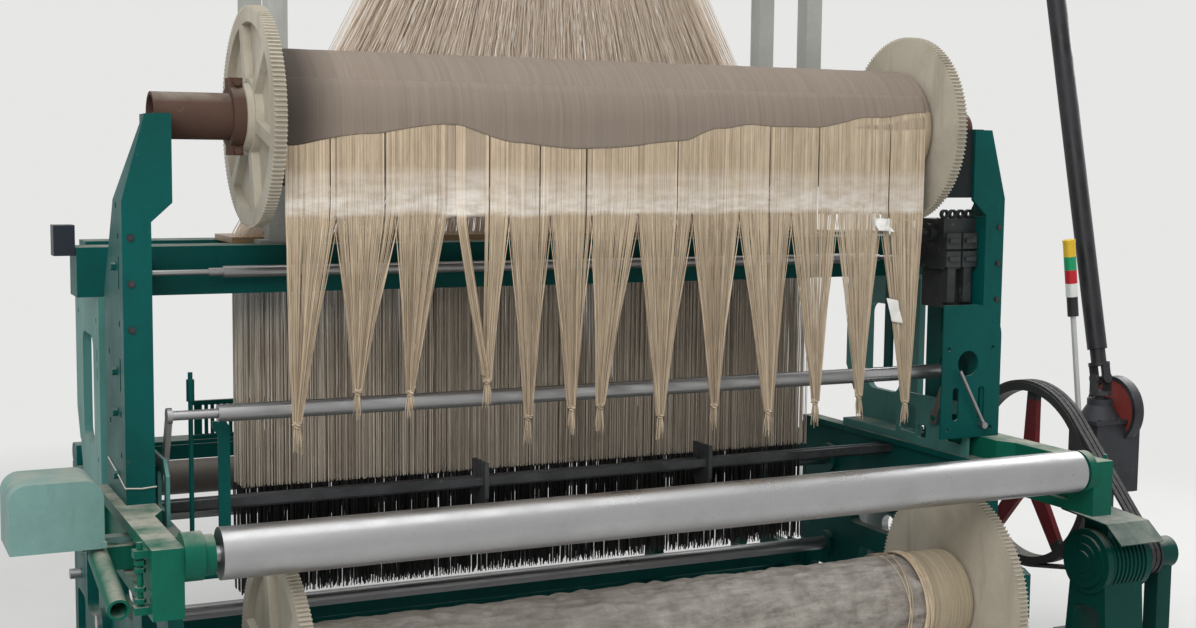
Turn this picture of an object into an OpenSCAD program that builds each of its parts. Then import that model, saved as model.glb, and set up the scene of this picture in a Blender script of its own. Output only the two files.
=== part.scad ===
// Two-beam terry loom with a harness machine above it, seen from its warp side.
// +X runs along the beams, +Y towards the cloth side, +Z up.
// The origin is on the floor, at the middle of the four floor bolts.

/* [Frame] */
// Width over the outer faces of the two side frames
frame_w = 2710; // [2600:10:2900]
// Thickness of a side frame
frame_t = 40; // [30:1:50]
// Height of a side frame at the warp side
frame_h = 790; // [760:5:820]
// Height of a side frame at the cloth side
front_h = 700; // [680:5:720]
// Distance from the origin to the rear edge of a side frame
frame_rear = 720; // [715:1:730]
// Distance from the origin to the front edge of a side frame
frame_front = 980; // [960:5:1040]
// Distance between the floor bolts, front to back
bolt_pitch_y = 1320; // [1280:10:1340]
// How far a floor bolt stands outside its side frame
bolt_out = 35; // [30:1:50]
// Diameter of a floor bolt hole
bolt_d = 22; // [16:1:26]
// Thickness of a foot pad
foot_t = 25; // [18:1:40]
// Section of the tubular cross ties
tie_s = 70; // [50:1:80]
// Thickness of the upper side plates
arch_t = 25; // [18:1:30]
// Height of the top face of the two top rails
rail_top = 1512; // [1480:1:1540]
// Height of a top rail's section
rail_h = 140; // [110:1:150]
// Depth of a top rail's section
rail_d = 130; // [100:1:130]
// Wall of a top rail
rail_wall = 8; // [5:1:12]
// Clear gap between the two top rails
rail_gap = 180; // [175:1:200]

/* [Beam stands] */
// Height of the upper beam's axis
upper_z = 1878; // [1850:1:1920]
// Distance of the upper beam's axis behind the origin
upper_back = 450; // [440:1:460]
// Width of a stand's foot, along the beams
stand_w = 75; // [65:1:90]
// Width of a stand's head, along the beams
stand_head_w = 130; // [115:1:145]
// Depth of a stand, front to back
stand_d = 300; // [260:1:320]
// How far the outer face of a stand leans in towards its top
stand_lean = 52; // [40:1:65]
// Plate thickness of a stand
stand_t = 12; // [8:1:16]
// Height of the top face of the back roller arms above the side frames
arm_rise = 70; // [60:1:90]
// Height of a back roller arm's section
arm_h = 170; // [150:1:190]

/* [Upper beam] */
// How far the upper beam stands to the right of the frame's middle
upper_shift = 25; // [10:1:40]
// Distance from a side frame's outer face to the inner face of a beam flange
flange_room = 290; // [280:1:340]
// Thickness of a beam flange at its toothed rim
rim_w = 34; // [28:1:40]
// Outer diameter of an upper beam flange
upper_flange_d = 600; // [560:2:640]
// Outer diameter of the upper beam's tube
upper_tube_d = 126; // [110:1:140]
// Wall of the upper beam's tube
tube_wall = 9; // [5:1:14]
// Outer diameter of the warp wound on the upper beam
upper_pack_d = 376; // [330:2:420]
// Number of rim teeth on an upper beam flange
upper_teeth = 144; // [140:20:160]
// Depth of a rim tooth
tooth_h = 7; // [5:0.5:8]

/* [Lower beam] */
// How far the lower beam stands to the left of the frame's middle
lower_shift = 8; // [0:1:20]
// Height of the lower beam's axis
lower_z = 409; // [400:1:430]
// Distance of the lower beam's axis behind the origin
lower_back = 808; // [800:1:830]
// Outer diameter of a lower beam flange
lower_flange_d = 700; // [660:2:720]
// Outer diameter of the warp wound on the lower beam
lower_pack_d = 304; // [240:2:400]
// Number of rim teeth on a lower beam flange
lower_teeth = 168; // [147:21:189]
// Diameter of the lower beam's barrel
barrel_d = 150; // [130:2:170]
// Diameter of the lower beam's journals
lower_journal_d = 60; // [50:1:70]

/* [Rollers and tubes] */
// Distance of the back rest roller's axis below the top face of its arms
roller_drop = 32; // [25:1:45]
// Distance of the back rest roller's axis behind the origin
roller_back = 1045; // [1030:1:1060]
// Diameter of the back rest roller
roller_d = 128; // [110:1:136]
// Diameter of the back rest roller's journals
roller_journal_d = 40; // [30:1:50]
// Radial clearance of a running shaft in its bearing
run_fit = 0.05; // [0.02:0.01:0.09]
// Gap between neighbouring pieces that only pass each other
gap = 0.3; // [0.2:0.05:0.4]
// Diameter of the upper guide tube
guide_d = 34; // [26:1:40]
// Distance of the upper guide tube's axis below the top of the rails
guide_drop = 72; // [60:1:85]
// Diameter of the tension tube
tension_d = 48; // [38:1:56]
// Height of the tension tube's axis above the pivots of its levers
lever_rise = 175; // [160:1:190]
// Distance of the drop wire bars below the top of the side frames
drop_below = 38; // [30:1:48]

/* [Harness] */
// How far the harness stands to the right of the frame's middle
harness_shift = 30; // [20:1:40]
// Width of the harness at the comber board
harness_w = 2050; // [2000:10:2160]
// Depth of the harness, front to back
harness_d = 130; // [110:1:136]
// Thickness of the comber board
board_t = 18; // [12:1:24]
// Height of the lower end of the heald wires
heald_end = 760; // [740:5:800]
// Height of the lower end of the harness weights
weight_end = 420; // [400:5:460]
// Height of the collar board under the head
collar_z = 2680; // [2600:10:2760]
// Width of the cord fan at the collar board
fan_top_w = 760; // [700:10:840]

/* [Drive] */
// Height of the drive shaft and the crankshaft
shaft_z = 650; // [646:1:654]
// Distance of the drive shaft behind the origin
drive_back = 290; // [285:1:295]
// Module of the drive gears
gear_m = 5; // [4.9:0.02:5.04]
// Face width of the drive gears
gear_w = 30; // [22:1:34]
// Diameter of the drive shafts
shaft_d = 50; // [40:1:56]
// Throw of the crankshaft
crank_r = 70; // [60:1:74]
// Distance of the driving wheel outside the right side frame
wheel_out = 435; // [420:5:450]
// Outer diameter of the spoked driving wheel
wheel_d = 660; // [600:2:670]
// Width of the driving wheel's rim
wheel_w = 60; // [50:1:90]
// Diameter of the motor body
motor_d = 214; // [200:2:230]
// Height of the motor's axis
motor_z = 475; // [460:1:490]
// Distance of the motor's axis behind the origin
motor_back = 850; // [835:1:865]
// Diameter of the motor pulley's shaft
pulley_shaft_d = 28; // [22:1:34]
// Diameter of the motor pulley
pulley_d = 112; // [100:1:130]

// Height of the collar on top of the bevel gear box above the drive shaft
box_rise = 255; // [240:1:300]
// Lean of the signal lamp's pole, in degrees
lamp_lean = 7; // [0:1:10]

/* [Cloth side] */
// Distance of the sley's rocking shaft in front of the origin
sley_y = 600; // [590:1:610]
// Height of the sley's rocking shaft
sley_z = 140; // [130:1:150]
// Height of the reed above the sley
reed_h = 130; // [110:1:150]
// Diameter of the take-up roller
takeup_d = 120; // [100:1:130]
// Diameter of the cloth roller
cloth_d = 110; // [90:1:140]

/* [Hidden] */
$fn = 64;

// Derived places
fx = frame_w / 2;
fin = fx - frame_t;
win_low = 140;
win_top = 122;
ledge_t = 10;
ledge_h = 175;
stand_x = fx + stand_w;
stand_rear = -(upper_back + 120);
arm_top = frame_h + arm_rise;
arm_bot = arm_top - arm_h;
roller_z = arm_top - roller_drop;
rail_bot = rail_top - rail_h;
harness_y = 70;
rail_rear_y = harness_y - rail_gap / 2 - rail_d;
rail_front_y = harness_y + rail_gap / 2;
rail_left = -fx - stand_w - 55;
front_rail_left = -fx - stand_w + 15;
rail_right = fx + stand_w + 45;
arch_x = fx + stand_w - arch_t;
guide_y = -200;
guide_z = rail_top - guide_drop;
tension_y = -480;
drop_y = -100;
drop_z = frame_h - drop_below;
add_k = 0.45;
gear_h = 2.2 * gear_m;
drive_teeth = 44;
idler_teeth = 64;
bottom_teeth = 88;
drive_r = gear_m * drive_teeth / 2;
idler_r = gear_m * idler_teeth / 2;
bottom_r = gear_m * bottom_teeth / 2;
idler_y = -drive_back + drive_r + idler_r;
crank_y = idler_y + idler_r + drive_r;
bottom_z = shaft_z - drive_r - bottom_r;
gear_x = fx + 115;
gear_x2 = gear_x + gear_w + 5;
wheel_x = fx + wheel_out;
flange_gap = frame_w - 2 * flange_room;
left_in = upper_shift - flange_gap / 2;
right_in = upper_shift + flange_gap / 2;
lower_left_in = -lower_shift - flange_gap / 2;
lower_right_in = -lower_shift + flange_gap / 2;
upper_r = upper_flange_d / 2;
lower_r = lower_flange_d / 2;
upper_pin_teeth = 20;
lower_pin_teeth = 21;
upper_pitch = upper_r - add_k * tooth_h;
lower_pitch = lower_r - add_k * tooth_h;
upper_pin_pitch = upper_pitch * upper_pin_teeth / upper_teeth;
lower_pin_pitch = lower_pitch * lower_pin_teeth / lower_teeth;
upper_pin_z = upper_z - upper_pitch - upper_pin_pitch;
post_x = 930;
post_s = 60;
gantry_z = 2780;
head_x0 = harness_shift - 480;
head_x1 = harness_shift + 480;
box_x = fx + 785;
box_top = shaft_z + box_rise;
cross_y = harness_y + 100;
cross_z = gantry_z + 160;
yoke_low_z = box_top + 75;
yoke_top_z = gantry_z + 5;
yoke_top_y = harness_y + 50;
shaft_len = norm([yoke_top_y + drive_back, yoke_top_z - yoke_low_z]);
shaft_tilt = atan2(yoke_top_y + drive_back, yoke_top_z - yoke_low_z);
throw_x = 700;
cloth_y = 850;
takeup_z = 640;
cloth_z = 330;
mid_tie_z = 560;
rear_tie_y = -400;
rear_tie_z = 655;
rear_tie_top = rear_tie_z + 45;
lever_y = tension_y + 80;
lever_z = arm_top + 40;
tension_z = lever_z + lever_rise;
step_y = 420;
link_dip = 12;
ear_in = 24;
roller_x0 = -fin + 20;
roller_x1 = fx - 10;
sword_x = throw_x + 29;
race_z = 820;
arm_pin_y = sley_y - 10;
arm_pin_z = 590;
lower_pin_y = -lower_back + lower_pitch + lower_pin_pitch;

// Colours
green = [0.05, 0.36, 0.31];
light_green = [0.42, 0.64, 0.60];
cream = [0.80, 0.78, 0.68];
steel = [0.70, 0.71, 0.72];
dark_steel = [0.20, 0.21, 0.23];
yarn = [0.74, 0.64, 0.50];
primer = [0.42, 0.26, 0.21];
wheel_red = [0.42, 0.10, 0.10];

// Box between two corners
module slab(x0, x1, y0, y1, z0, z1) {
    translate([x0, y0, z0]) cube([x1 - x0, y1 - y0, z1 - z0]);
}

// Cylinder along X
module xbar(d, x0, x1, y, z, sides = 48) {
    translate([x0, y, z]) rotate([0, 90, 0]) cylinder(d = d, h = x1 - x0, $fn = sides);
}

// Ring along X
module xring(d, bore, x0, x1, y, z) {
    difference() {
        xbar(d, x0, x1, y, z);
        xbar(bore, x0 - 1, x1 + 1, y, z);
    }
}

// Outline in the Y-Z plane, drawn out along X
module side_plate(x0, x1) {
    translate([x0, 0, 0]) rotate([90, 0, 90]) linear_extrude(x1 - x0) children();
}

// Rectangle with round corners
module round_rect(w, h, r) {
    translate([r, 0]) square([w - 2 * r, h]);
    translate([0, r]) square([w, h - 2 * r]);
    for (i = [r, w - r], j = [r, h - r]) translate([i, j]) circle(r, $fn = 24);
}

// Hexagon bolt head along X, standing out from x towards the side that dir gives
module bolt_x(x, y, z, dir, d = 22, h = 12) {
    translate([dir > 0 ? x : x - h, y, z]) rotate([0, 90, 0]) cylinder(d = d, h = h, $fn = 6);
}

// Gear outline: tip radius r, n teeth, with a tooth that points along +X
module gear_outline(r, n, h) {
    step = 360 / n;
    polygon([for (i = [0:n - 1], k = [0:3])
        let(a = i * step + [-0.24, -0.12, 0.12, 0.24][k] * step, q = (k == 1 || k == 2) ? r : r - h)
        [q * cos(a), q * sin(a)]]);
}

// Gear along X with its first tooth turned by an angle about X, from the Y axis
module xgear(r, n, h, x0, x1, y, z, turn, bore) {
    translate([x0, y, z]) rotate([90, 0, 90]) linear_extrude(x1 - x0) difference() {
        rotate(turn) gear_outline(r, n, h);
        circle(d = bore, $fn = 48);
    }
}

// Bolt feet, plate and webs of one side frame, drawn on the right
module side_frame() {
    win = [[-560, 100, 250, 250], [-250, 100, 300, 250], [120, 100, 250, 130], [440, 250, 250, 200],
        [-560, 440, 230, 200], [-190, 430, 300, 90], [745, 100, 170, 170], [745, 400, 170, 180],
        [440, 520, 200, 100]];
    difference() {
        union() {
            side_plate(fin, fx) difference() {
                polygon([[-frame_rear, foot_t], [-frame_rear, frame_h - 230], [-frame_rear + 40, frame_h - 170],
                    [-frame_rear + 40, frame_h], [step_y, frame_h], [step_y + 80, front_h], [frame_front, front_h],
                    [frame_front, foot_t]]);
                for (w = win) translate([w[0], w[1]]) round_rect(w[2], w[3], 30);
            }
            for (y = [-1, 1]) slab(fin - 25, fx + bolt_out * 2, y * bolt_pitch_y / 2 - 70,
                y * bolt_pitch_y / 2 + 70, 0, foot_t);
            slab(fin - 15, fx, -frame_rear, frame_front, foot_t, foot_t + 35);
            slab(fin - 15, fx, -frame_rear + 40, step_y, frame_h - 20, frame_h);
            xbar(76, fin - 20, fx + 25, -drive_back, shaft_z);
            xbar(110, fin - 20, fx + 25, crank_y, shaft_z);
            xbar(90, fin - 20, fx + 25, crank_y, bottom_z);
            xbar(80, fin - 20, fx, sley_y, sley_z);
            xbar(70, fin - 20, fx, cloth_y, takeup_z);
            xbar(70, fin - 20, fx, cloth_y, cloth_z);
            xbar(70, fx - 1, gear_x - 0.5, idler_y, shaft_z);
        }
        for (y = [-1, 1]) translate([fx + bolt_out, y * bolt_pitch_y / 2, -1])
            cylinder(d = bolt_d, h = foot_t + 2, $fn = 32);
        for (p = [[-drive_back, shaft_z, shaft_d], [crank_y, shaft_z, shaft_d], [crank_y, bottom_z, shaft_d],
            [sley_y, sley_z, 50], [cloth_y, takeup_z, 36], [cloth_y, cloth_z, 36]])
            xbar(p[2] + 2 * run_fit, fin - 30, fx + 40, p[0], p[1]);
    }
    xbar(40, gear_x - 0.5, gear_x + gear_w + 12, idler_y, shaft_z);
}

module right_side_frame() color(green) side_frame();

module left_side_frame() color(green) mirror([1, 0, 0]) side_frame();

// Plates that stand on the side frames and carry the two top rails
module upper_side_plates() {
    y0 = rail_rear_y - 10;
    y1 = rail_front_y + rail_d;
    ledges(y0);
    color(green) for (m = [0, 1]) mirror([m, 0, 0]) difference() {
        union() {
            side_plate(arch_x, arch_x + arch_t) difference() {
                polygon([[y0, frame_h], [y0, rail_bot], [y1, rail_bot], [y1, frame_h + 210], [y1 - 120, frame_h]]);
                translate([y0 + 110, frame_h + win_low]) round_rect(200, rail_bot - frame_h - win_low - win_top, 40);
            }
            slab(fin, arch_x + arch_t, y0, y1 - 120, frame_h, frame_h + 25);
            slab(arch_x - 60, arch_x + arch_t, y0, y1, rail_bot - 15, rail_bot);
        }
        for (z = [frame_h + 110, rail_bot - 72], y = [y0 + 50, y1 - 60]) xbar(18, arch_x - 1, arch_x + arch_t + 1, y, z);
        for (z = [frame_h + 340, frame_h + 390]) side_plate(arch_x - 1, arch_x + arch_t + 1)
            translate([y0 + 35, z]) round_rect(14, 40, 6);
    }
}

// Windowed plates on the side frames, behind the side plates; the tension levers' pins pass through them
module ledges(y1) color(green) for (m = [0, 1]) mirror([m, 0, 0]) side_plate(fin, fin + ledge_t) difference() {
    y0 = stand_rear + 10;
    polygon([[y0, frame_h], [y0, frame_h + ledge_h - 40], [y0 + 40, frame_h + ledge_h],
        [y1, frame_h + ledge_h], [y1, frame_h]]);
    for (y = [y0 + 30, y1 - 115]) translate([y, frame_h + 35]) round_rect(90, ledge_h - 75, 12);
    translate([y0 + 225, frame_h + 25]) round_rect(50, 45, 10);
    translate([lever_y, lever_z]) circle(d = 20 + 2 * gap, $fn = 32);
}

// Hollow rail with end caps, from x0 to the right end
module top_rail(x0, y) {
    difference() {
        slab(x0, rail_right, y, y + rail_d, rail_bot, rail_top);
        slab(x0 + rail_wall, rail_right - rail_wall, y + rail_wall, y + rail_d - rail_wall,
            rail_bot + rail_wall, rail_top - rail_wall);
    }
}

// Rear rail, with a small switch box on its left end
module rear_top_rail() {
    color(green) top_rail(rail_left, rail_rear_y);
    color(dark_steel) slab(rail_left - 58, rail_left, rail_rear_y + 20, rail_rear_y + 80, rail_top - 24, rail_top + 62);
}

module front_top_rail() color(green) top_rail(front_rail_left, rail_front_y);

// Ties between the side frames with end plates, and the channel behind the back rest roller
module cross_ties() {
    rear_tie();
    color(green) for (p = [[-330, 120], [460, 240], [880, 120], [drop_y, mid_tie_z]]) {
        slab(-fin + 12, fin - 12, p[0] - tie_s / 2, p[0] + tie_s / 2, p[1] - tie_s / 2, p[1] + tie_s / 2);
        for (s = [-1, 1]) slab(s > 0 ? fin - 12 : -fin, s > 0 ? fin : -fin + 12, p[0] - tie_s / 2 - 25,
            p[0] + tie_s / 2 + 25, p[1] - tie_s / 2 - 10, p[1] + tie_s / 2 + 10);
    }
}

module rear_tie() {
    y = rear_tie_y;
    z = rear_tie_z;
    color(green) difference() {
        slab(-fin, fin, y - 35, y + 35, z - 45, rear_tie_top);
        slab(-fin + 40, fin - 40, y - 36, y + 25, z - 35, z + 35);
    }
    color(green) for (x = [-700, 60, 760]) slab(x, x + 12, y - 34, y + 25, z - 35, z + 35);
}

// Side outline of a beam stand
module stand_side_outline() {
    y1 = stand_rear + stand_d;
    polygon([[stand_rear, arm_top], [stand_rear, upper_z + 2], [stand_rear + 20, upper_z + 2],
        [stand_rear + 143, upper_z - 238], [stand_rear + 222, upper_z - 362], [y1, upper_z - 478],
        [y1, arm_top]]);
}

// Channel-section stand, drawn on the right
module beam_stand() {
    head_in = stand_x - stand_head_w;
    lean = stand_lean;
    top = upper_z + 2;
    knee = upper_z - 223;
    y1 = stand_rear + stand_d;
    difference() {
        union() {
            intersection() {
                union() {
                    translate([0, stand_rear + stand_t, 0]) rotate([90, 0, 0]) linear_extrude(stand_t)
                        polygon([[fx, arm_top], [fx, knee - 55], [head_in, knee - 5], [head_in, top],
                            [stand_x - lean - 10, top], [stand_x, knee], [stand_x, arm_top]]);
                    translate([0, y1, 0]) rotate([90, 0, 0]) linear_extrude(stand_d)
                        polygon([[stand_x - stand_t, arm_top], [stand_x - stand_t, knee],
                            [stand_x - lean - 10 - stand_t, top], [stand_x - lean - 10, top],
                            [stand_x, knee], [stand_x, arm_top]]);
                }
                side_plate(fx - 100, stand_x + 10) stand_side_outline();
            }
            intersection() {
                side_plate(fx, fx + stand_t) difference() {
                    stand_side_outline();
                    for (z = [100, 310]) translate([stand_rear + 70, arm_top + z]) round_rect(150, 160, 30);
                }
                slab(fx, fx + stand_t, stand_rear, y1, arm_top, knee - 60);
            }
            slab(fx + stand_t, stand_x - stand_t, stand_rear + stand_t, y1, arm_top, arm_top + 15);
            slab(fx + stand_t, stand_x - stand_t, stand_rear + stand_t, y1 - 60, arm_top + 470, arm_top + 482);
        }
        for (p = [[60, 120], [60, 230], [230, 190], [60, 470], [230, 380], [60, 700], [90, 780]])
            xbar(20, stand_x - stand_t - 5, stand_x + 5, stand_rear + p[0], arm_top + p[1]);
        for (z = [290, 560]) side_plate(stand_x - stand_t - 5, stand_x + 5)
            translate([stand_rear + 50, arm_top + z]) round_rect(16, 90, 7);
    }
    for (p = [[120, 60], [120, 230], [120, 340], [110, 620]])
        bolt_x(stand_x, stand_rear + p[0], arm_top + p[1], 1);
}

// Right stand, with the round-topped guard plate in front of it
module right_beam_stand() color(green) {
    beam_stand();
    guard_plate();
}

// Guard plate of the let-off drive, seated on the arm and on the stand's rear face
module guard_plate() {
    w = 240;
    h = 445;
    r = 110;
    translate([stand_x - w, stand_rear, arm_top]) rotate([90, 0, 0]) linear_extrude(7) difference() {
        union() {
            square([w - r, h]);
            square([w, h - r]);
            translate([w - r, h - r]) circle(r, $fn = 64);
        }
        translate([105, 250]) circle(d = 84, $fn = 48);
        for (x = [45, 150]) translate([x, 60]) round_rect(26, 110, 12);
        for (x = [25, 205], z = [30, 300]) translate([x, z]) circle(d = 14, $fn = 24);
    }
}

module left_beam_stand() color(green) mirror([1, 0, 0]) beam_stand();

// Open cradles that hold the upper beam's tube; the right one also carries the beam's brake housing
module beam_saddles() {
    x0 = stand_x - stand_head_w;
    color(green) for (m = [0, 1]) mirror([m, 0, 0]) side_plate(x0 - (m == 0 ? 100 : 0), x0 + 42) difference() {
        polygon([[stand_rear + stand_t, upper_z - 220], [stand_rear + stand_t, upper_z + 4],
            [-upper_back + 100, upper_z + 4], [-upper_back + 100, upper_z - 70],
            [-upper_back - 20, upper_z - 220]]);
        translate([-upper_back, upper_z]) circle(d = upper_tube_d + 2 * gap, $fn = 64);
        translate([-upper_back - upper_tube_d / 2 - gap, upper_z]) square([upper_tube_d + 2 * gap, 10]);
    }
}

// Cast arms that carry the stands and the back rest roller
module back_roller_arms() {
    x0 = fx + 30;
    x1 = fx + 105;
    y0 = -roller_back - 42;
    y1 = stand_rear + stand_d;
    color(green) for (m = [0, 1]) mirror([m, 0, 0]) difference() {
        translate([0, 0, arm_bot]) linear_extrude(arm_h)
            polygon([[x0, y0], [x1, y0], [x1, y1], [fx, y1], [fx, -frame_rear + 60], [x0, -frame_rear]]);
        slab(x0 - 1, x0 + 22, y0 + 110, -frame_rear - 40, arm_bot + 30, arm_top - 30);
        slab(x1 - 22, x1 + 1, y0 + 110, y1 - 40, arm_bot + 30, arm_top - 30);
        xbar(roller_journal_d + 6, x0 - 1, x0 + 30, -roller_back, roller_z);
    }
    color(green) for (m = [0, 1]) mirror([m, 0, 0]) adjusting_screw(x1, y0 + 55);
    color(primer) link_tube();
}

// Upright screw with nuts between two lugs on the outer face of an arm
module adjusting_screw(x, y) {
    for (z = [arm_bot + 8, arm_top - 26]) slab(x, x + 34, y - 16, y + 16, z, z + 18);
    translate([x + 18, y, arm_bot + 20]) cylinder(d = 14, h = arm_h - 10, $fn = 32);
    for (z = [34, 62, 108, 126]) translate([x + 18, y, arm_bot + z]) cylinder(d = 28, h = 11, $fn = 6);
}

// Hollow end of the left arm's link, below the side cover
module link_tube() {
    x = -fx - 105 - 34;
    translate([x - 30, -roller_back + 330, roller_z - 60]) rotate([90 + link_dip, 0, 0]) difference() {
        cylinder(d = 54, h = 300, $fn = 48);
        translate([0, 0, 240]) cylinder(d = 40, h = 70, $fn = 48);
    }
    slab(x - 34, -fx - 83, -roller_back + 330, -roller_back + 350, roller_z - 100, roller_z - 40);
}

module roller_bearings() {
    color(cream) xring(118, roller_journal_d + 2 * run_fit, -fx - 30, roller_x0 - 42,
        -roller_back, roller_z);
    color(cream) xring(98, roller_journal_d + 2 * run_fit, roller_x0 - 42, roller_x0 - 15,
        -roller_back, roller_z);
    color(green) xring(126, roller_journal_d + 2 * run_fit, roller_x1 + 12, fx + 30,
        -roller_back, roller_z);
}

module back_rest_roller() color(steel) {
    xbar(roller_d, roller_x0, roller_x1, -roller_back, roller_z, 96);
    xbar(roller_journal_d, -fx - 50, fx + 50, -roller_back, roller_z);
}

// Arms behind the side frames with open bearings for the lower beam
module lower_beam_brackets() {
    color(green) for (m = [0, 1]) mirror([m, 0, 0]) side_plate(fin - 45, fin) difference() {
        polygon([[-frame_rear + 60, 250], [-lower_back - 90, 330], [-lower_back - 90, 470],
            [-lower_back - 60, lower_z + 75], [-lower_back + 70, lower_z + 75], [-frame_rear + 60, 530]]);
        translate([-lower_back, lower_z]) circle(d = lower_journal_d + 2 * run_fit, $fn = 64);
    }
}

// Toothed cast flange with blind kidney pockets on its outer face; dir is the outward side
module beam_flange(r, n, h, bore, x_in, dir, y, z, hub) {
    web = 12;
    x_out = x_in + dir * rim_w;
    x0 = min(x_in, x_out);
    pocket0 = dir > 0 ? x_in + web : x_out - 1;
    difference() {
        union() {
            xgear(r, n, h, x0, x0 + rim_w, y, z, 0, bore);
            xbar(hub, dir > 0 ? x_out - 1 : x_out - 18, dir > 0 ? x_out + 18 : x_out + 1, y, z);
        }
        translate([pocket0, y, z]) rotate([90, 0, 90]) linear_extrude(rim_w - web + 1) difference() {
            circle(r - 44, $fn = 96);
            circle(d = hub + 24, $fn = 64);
            for (i = [0:5]) rotate(i * 60 + 15) translate([0, -17]) square([r, 34]);
        }
        xbar(bore, x0 - 30, x0 + rim_w + 30, y, z);
    }
}

module upper_left_flange() color(cream) beam_flange(upper_r, upper_teeth, tooth_h,
    upper_tube_d + 2 * run_fit, left_in, -1, -upper_back, upper_z, 184);

module upper_right_flange() color(cream) beam_flange(upper_r, upper_teeth, tooth_h,
    upper_tube_d + 2 * run_fit, right_in, 1, -upper_back, upper_z, 184);

module upper_beam_tube() color(primer) difference() {
    xbar(upper_tube_d, -stand_x + 98, stand_x - 98, -upper_back, upper_z, 96);
    xbar(upper_tube_d - 2 * tube_wall, -stand_x, stand_x, -upper_back, upper_z, 96);
}

// Split clamp collars with their bolts
module upper_beam_collars() color(primer)
    for (x = [left_in - rim_w - 18 - 34, right_in + rim_w + 18]) difference() {
        union() {
            xbar(upper_tube_d + 40, x, x + 34, -upper_back, upper_z, 64);
            for (s = [-1, 1]) slab(x, x + 34, -upper_back - 30, -upper_back + 30,
                s > 0 ? upper_z + 60 : upper_z - 104, s > 0 ? upper_z + 104 : upper_z - 60);
            for (s = [-1, 1]) translate([x + 17, -upper_back - 44, upper_z + s * 92]) rotate([-90, 0, 0])
                cylinder(d = 22, h = 88, $fn = 6);
        }
        xbar(upper_tube_d + 2 * run_fit, x - 1, x + 35, -upper_back, upper_z, 64);
        slab(x - 1, x + 35, -upper_back - 3, -upper_back + 3, upper_z + 50, upper_z + 84);
    }

// Yarn wound on a beam from x0, with a round shoulder of radius r at each end
module warp_package(d, bore, r, x0, y, z) {
    w = flange_gap - 2 * gap;
    low = [d / 2 - r, r];
    high = [d / 2 - r, w - r];
    translate([x0 + gap, y, z]) rotate([0, 90, 0]) rotate_extrude($fn = 128)
        polygon(concat([[bore / 2, 0]], arc(low, r, -90, 0, 6), arc(high, r, 0, 90, 6), [[bore / 2, w]]));
}

module upper_warp_package() color(yarn)
    warp_package(upper_pack_d, upper_tube_d + 2 * run_fit, 36, left_in, -upper_back, upper_z);

// One bunch of cut warp ends: top from x0 to x1, drawn in to a knot at xt, zt with a tassel
module warp_bunch(x0, x1, xt, zt, y, top) {
    t = 5;
    knot = 13;
    intersection() {
        translate([0, y + 40, 0]) rotate([90, 0, 0]) linear_extrude(90)
            polygon([[x0, top], [x0 + 2, top - 190], [xt - 9, zt], [xt + 9, zt], [x1 - 2, top - 190],
                [x1, top]]);
        side_plate(x0 - 200, x1 + 200)
            polygon([[y, top], [y - t, top], [y - t - 9, zt], [y + 9, zt], [y, top - 250]]);
    }
    translate([xt, y - 2, zt]) sphere(knot, $fn = 24);
    translate([xt, y - 2, zt - 60]) cylinder(r1 = 17, r2 = 8, h = 52, $fn = 24);
}

// Slits, tips and drops from left to right; slits and tips are thousandths of the flange gap
module hanging_warp_ends() {
    y = -upper_back - upper_pack_d / 2 - gap;
    top = upper_z + 10;
    slit = 6;
    slits = [9, 67, 139, 214, 247, 285, 353, 422, 495, 577, 660, 749, 833, 916, 979];
    tips = [21, 101, 171, 262, 278, 338, 402, 445, 538, 625, 714, 794, 871, 955];
    drops = [813, 733, 743, 583, 723, 833, 813, 813, 853, 833, 863, 843, 833, 863];
    x = function (share) left_in + flange_gap * share / 1000;
    color(yarn) for (i = [0:len(tips) - 1])
        warp_bunch(x(slits[i]) + slit / 2, x(slits[i + 1]) - slit / 2, x(tips[i]), upper_z - 5 - drops[i], y, top);
}

// Pinion and shaft that hold back the upper beam
module upper_let_off_pinion() {
    tip = upper_pin_pitch + add_k * tooth_h;
    color(dark_steel) xgear(tip, upper_pin_teeth, tooth_h, right_in + 2, right_in + rim_w - 2,
        -upper_back, upper_pin_z, 180 / upper_pin_teeth, 10);
    color(steel) xbar(28, right_in + rim_w - 2.5, fx - 60, -upper_back, upper_pin_z);
    color(steel) xbar(12, right_in + 2, right_in + rim_w, -upper_back, upper_pin_z);
}

// Gear box of the upper let-off, on the right stand, with its pair of brake blocks and their springs
module upper_let_off_box() {
    x0 = fx - 130;
    y0 = -upper_back - 85;
    z0 = upper_pin_z - 250;
    color(dark_steel) difference() {
        union() {
            slab(x0, fx, y0 + 20, y0 + 170, upper_pin_z - 120, upper_pin_z + 45);
            slab(x0 + 20, fx, y0 + 40, y0 + 155, z0, upper_pin_z - 120);
            for (i = [0, 1]) translate([x0 + i * 66, y0, 0]) {
                for (z = [-112, -52]) slab(0, 58, 0, 40, upper_pin_z + z, upper_pin_z + z + 52);
                for (z = [-92, -32]) slab(8, 50, -9, 1, upper_pin_z + z, upper_pin_z + z + 14);
                slab(12, 44, 8, 46, z0 + 20, upper_pin_z - 112);
            }
            for (i = [0:3]) translate([x0 + 16 + i * 33, y0 + 40, upper_pin_z + 62]) spring_ring();
            slab(x0, fx, y0 + 20, y0 + 60, upper_pin_z + 44, upper_pin_z + 48);
            xbar(60, x0 - 22, x0, -upper_back, upper_pin_z);
        }
        xbar(28 + 2 * run_fit, x0 - 30, x0 + 75, -upper_back, upper_pin_z);
    }
}

// Ring that stands in the X-Z plane
module spring_ring() rotate([90, 0, 0]) linear_extrude(14, center = true) difference() {
    circle(d = 31, $fn = 32);
    circle(d = 17, $fn = 32);
}

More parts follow.
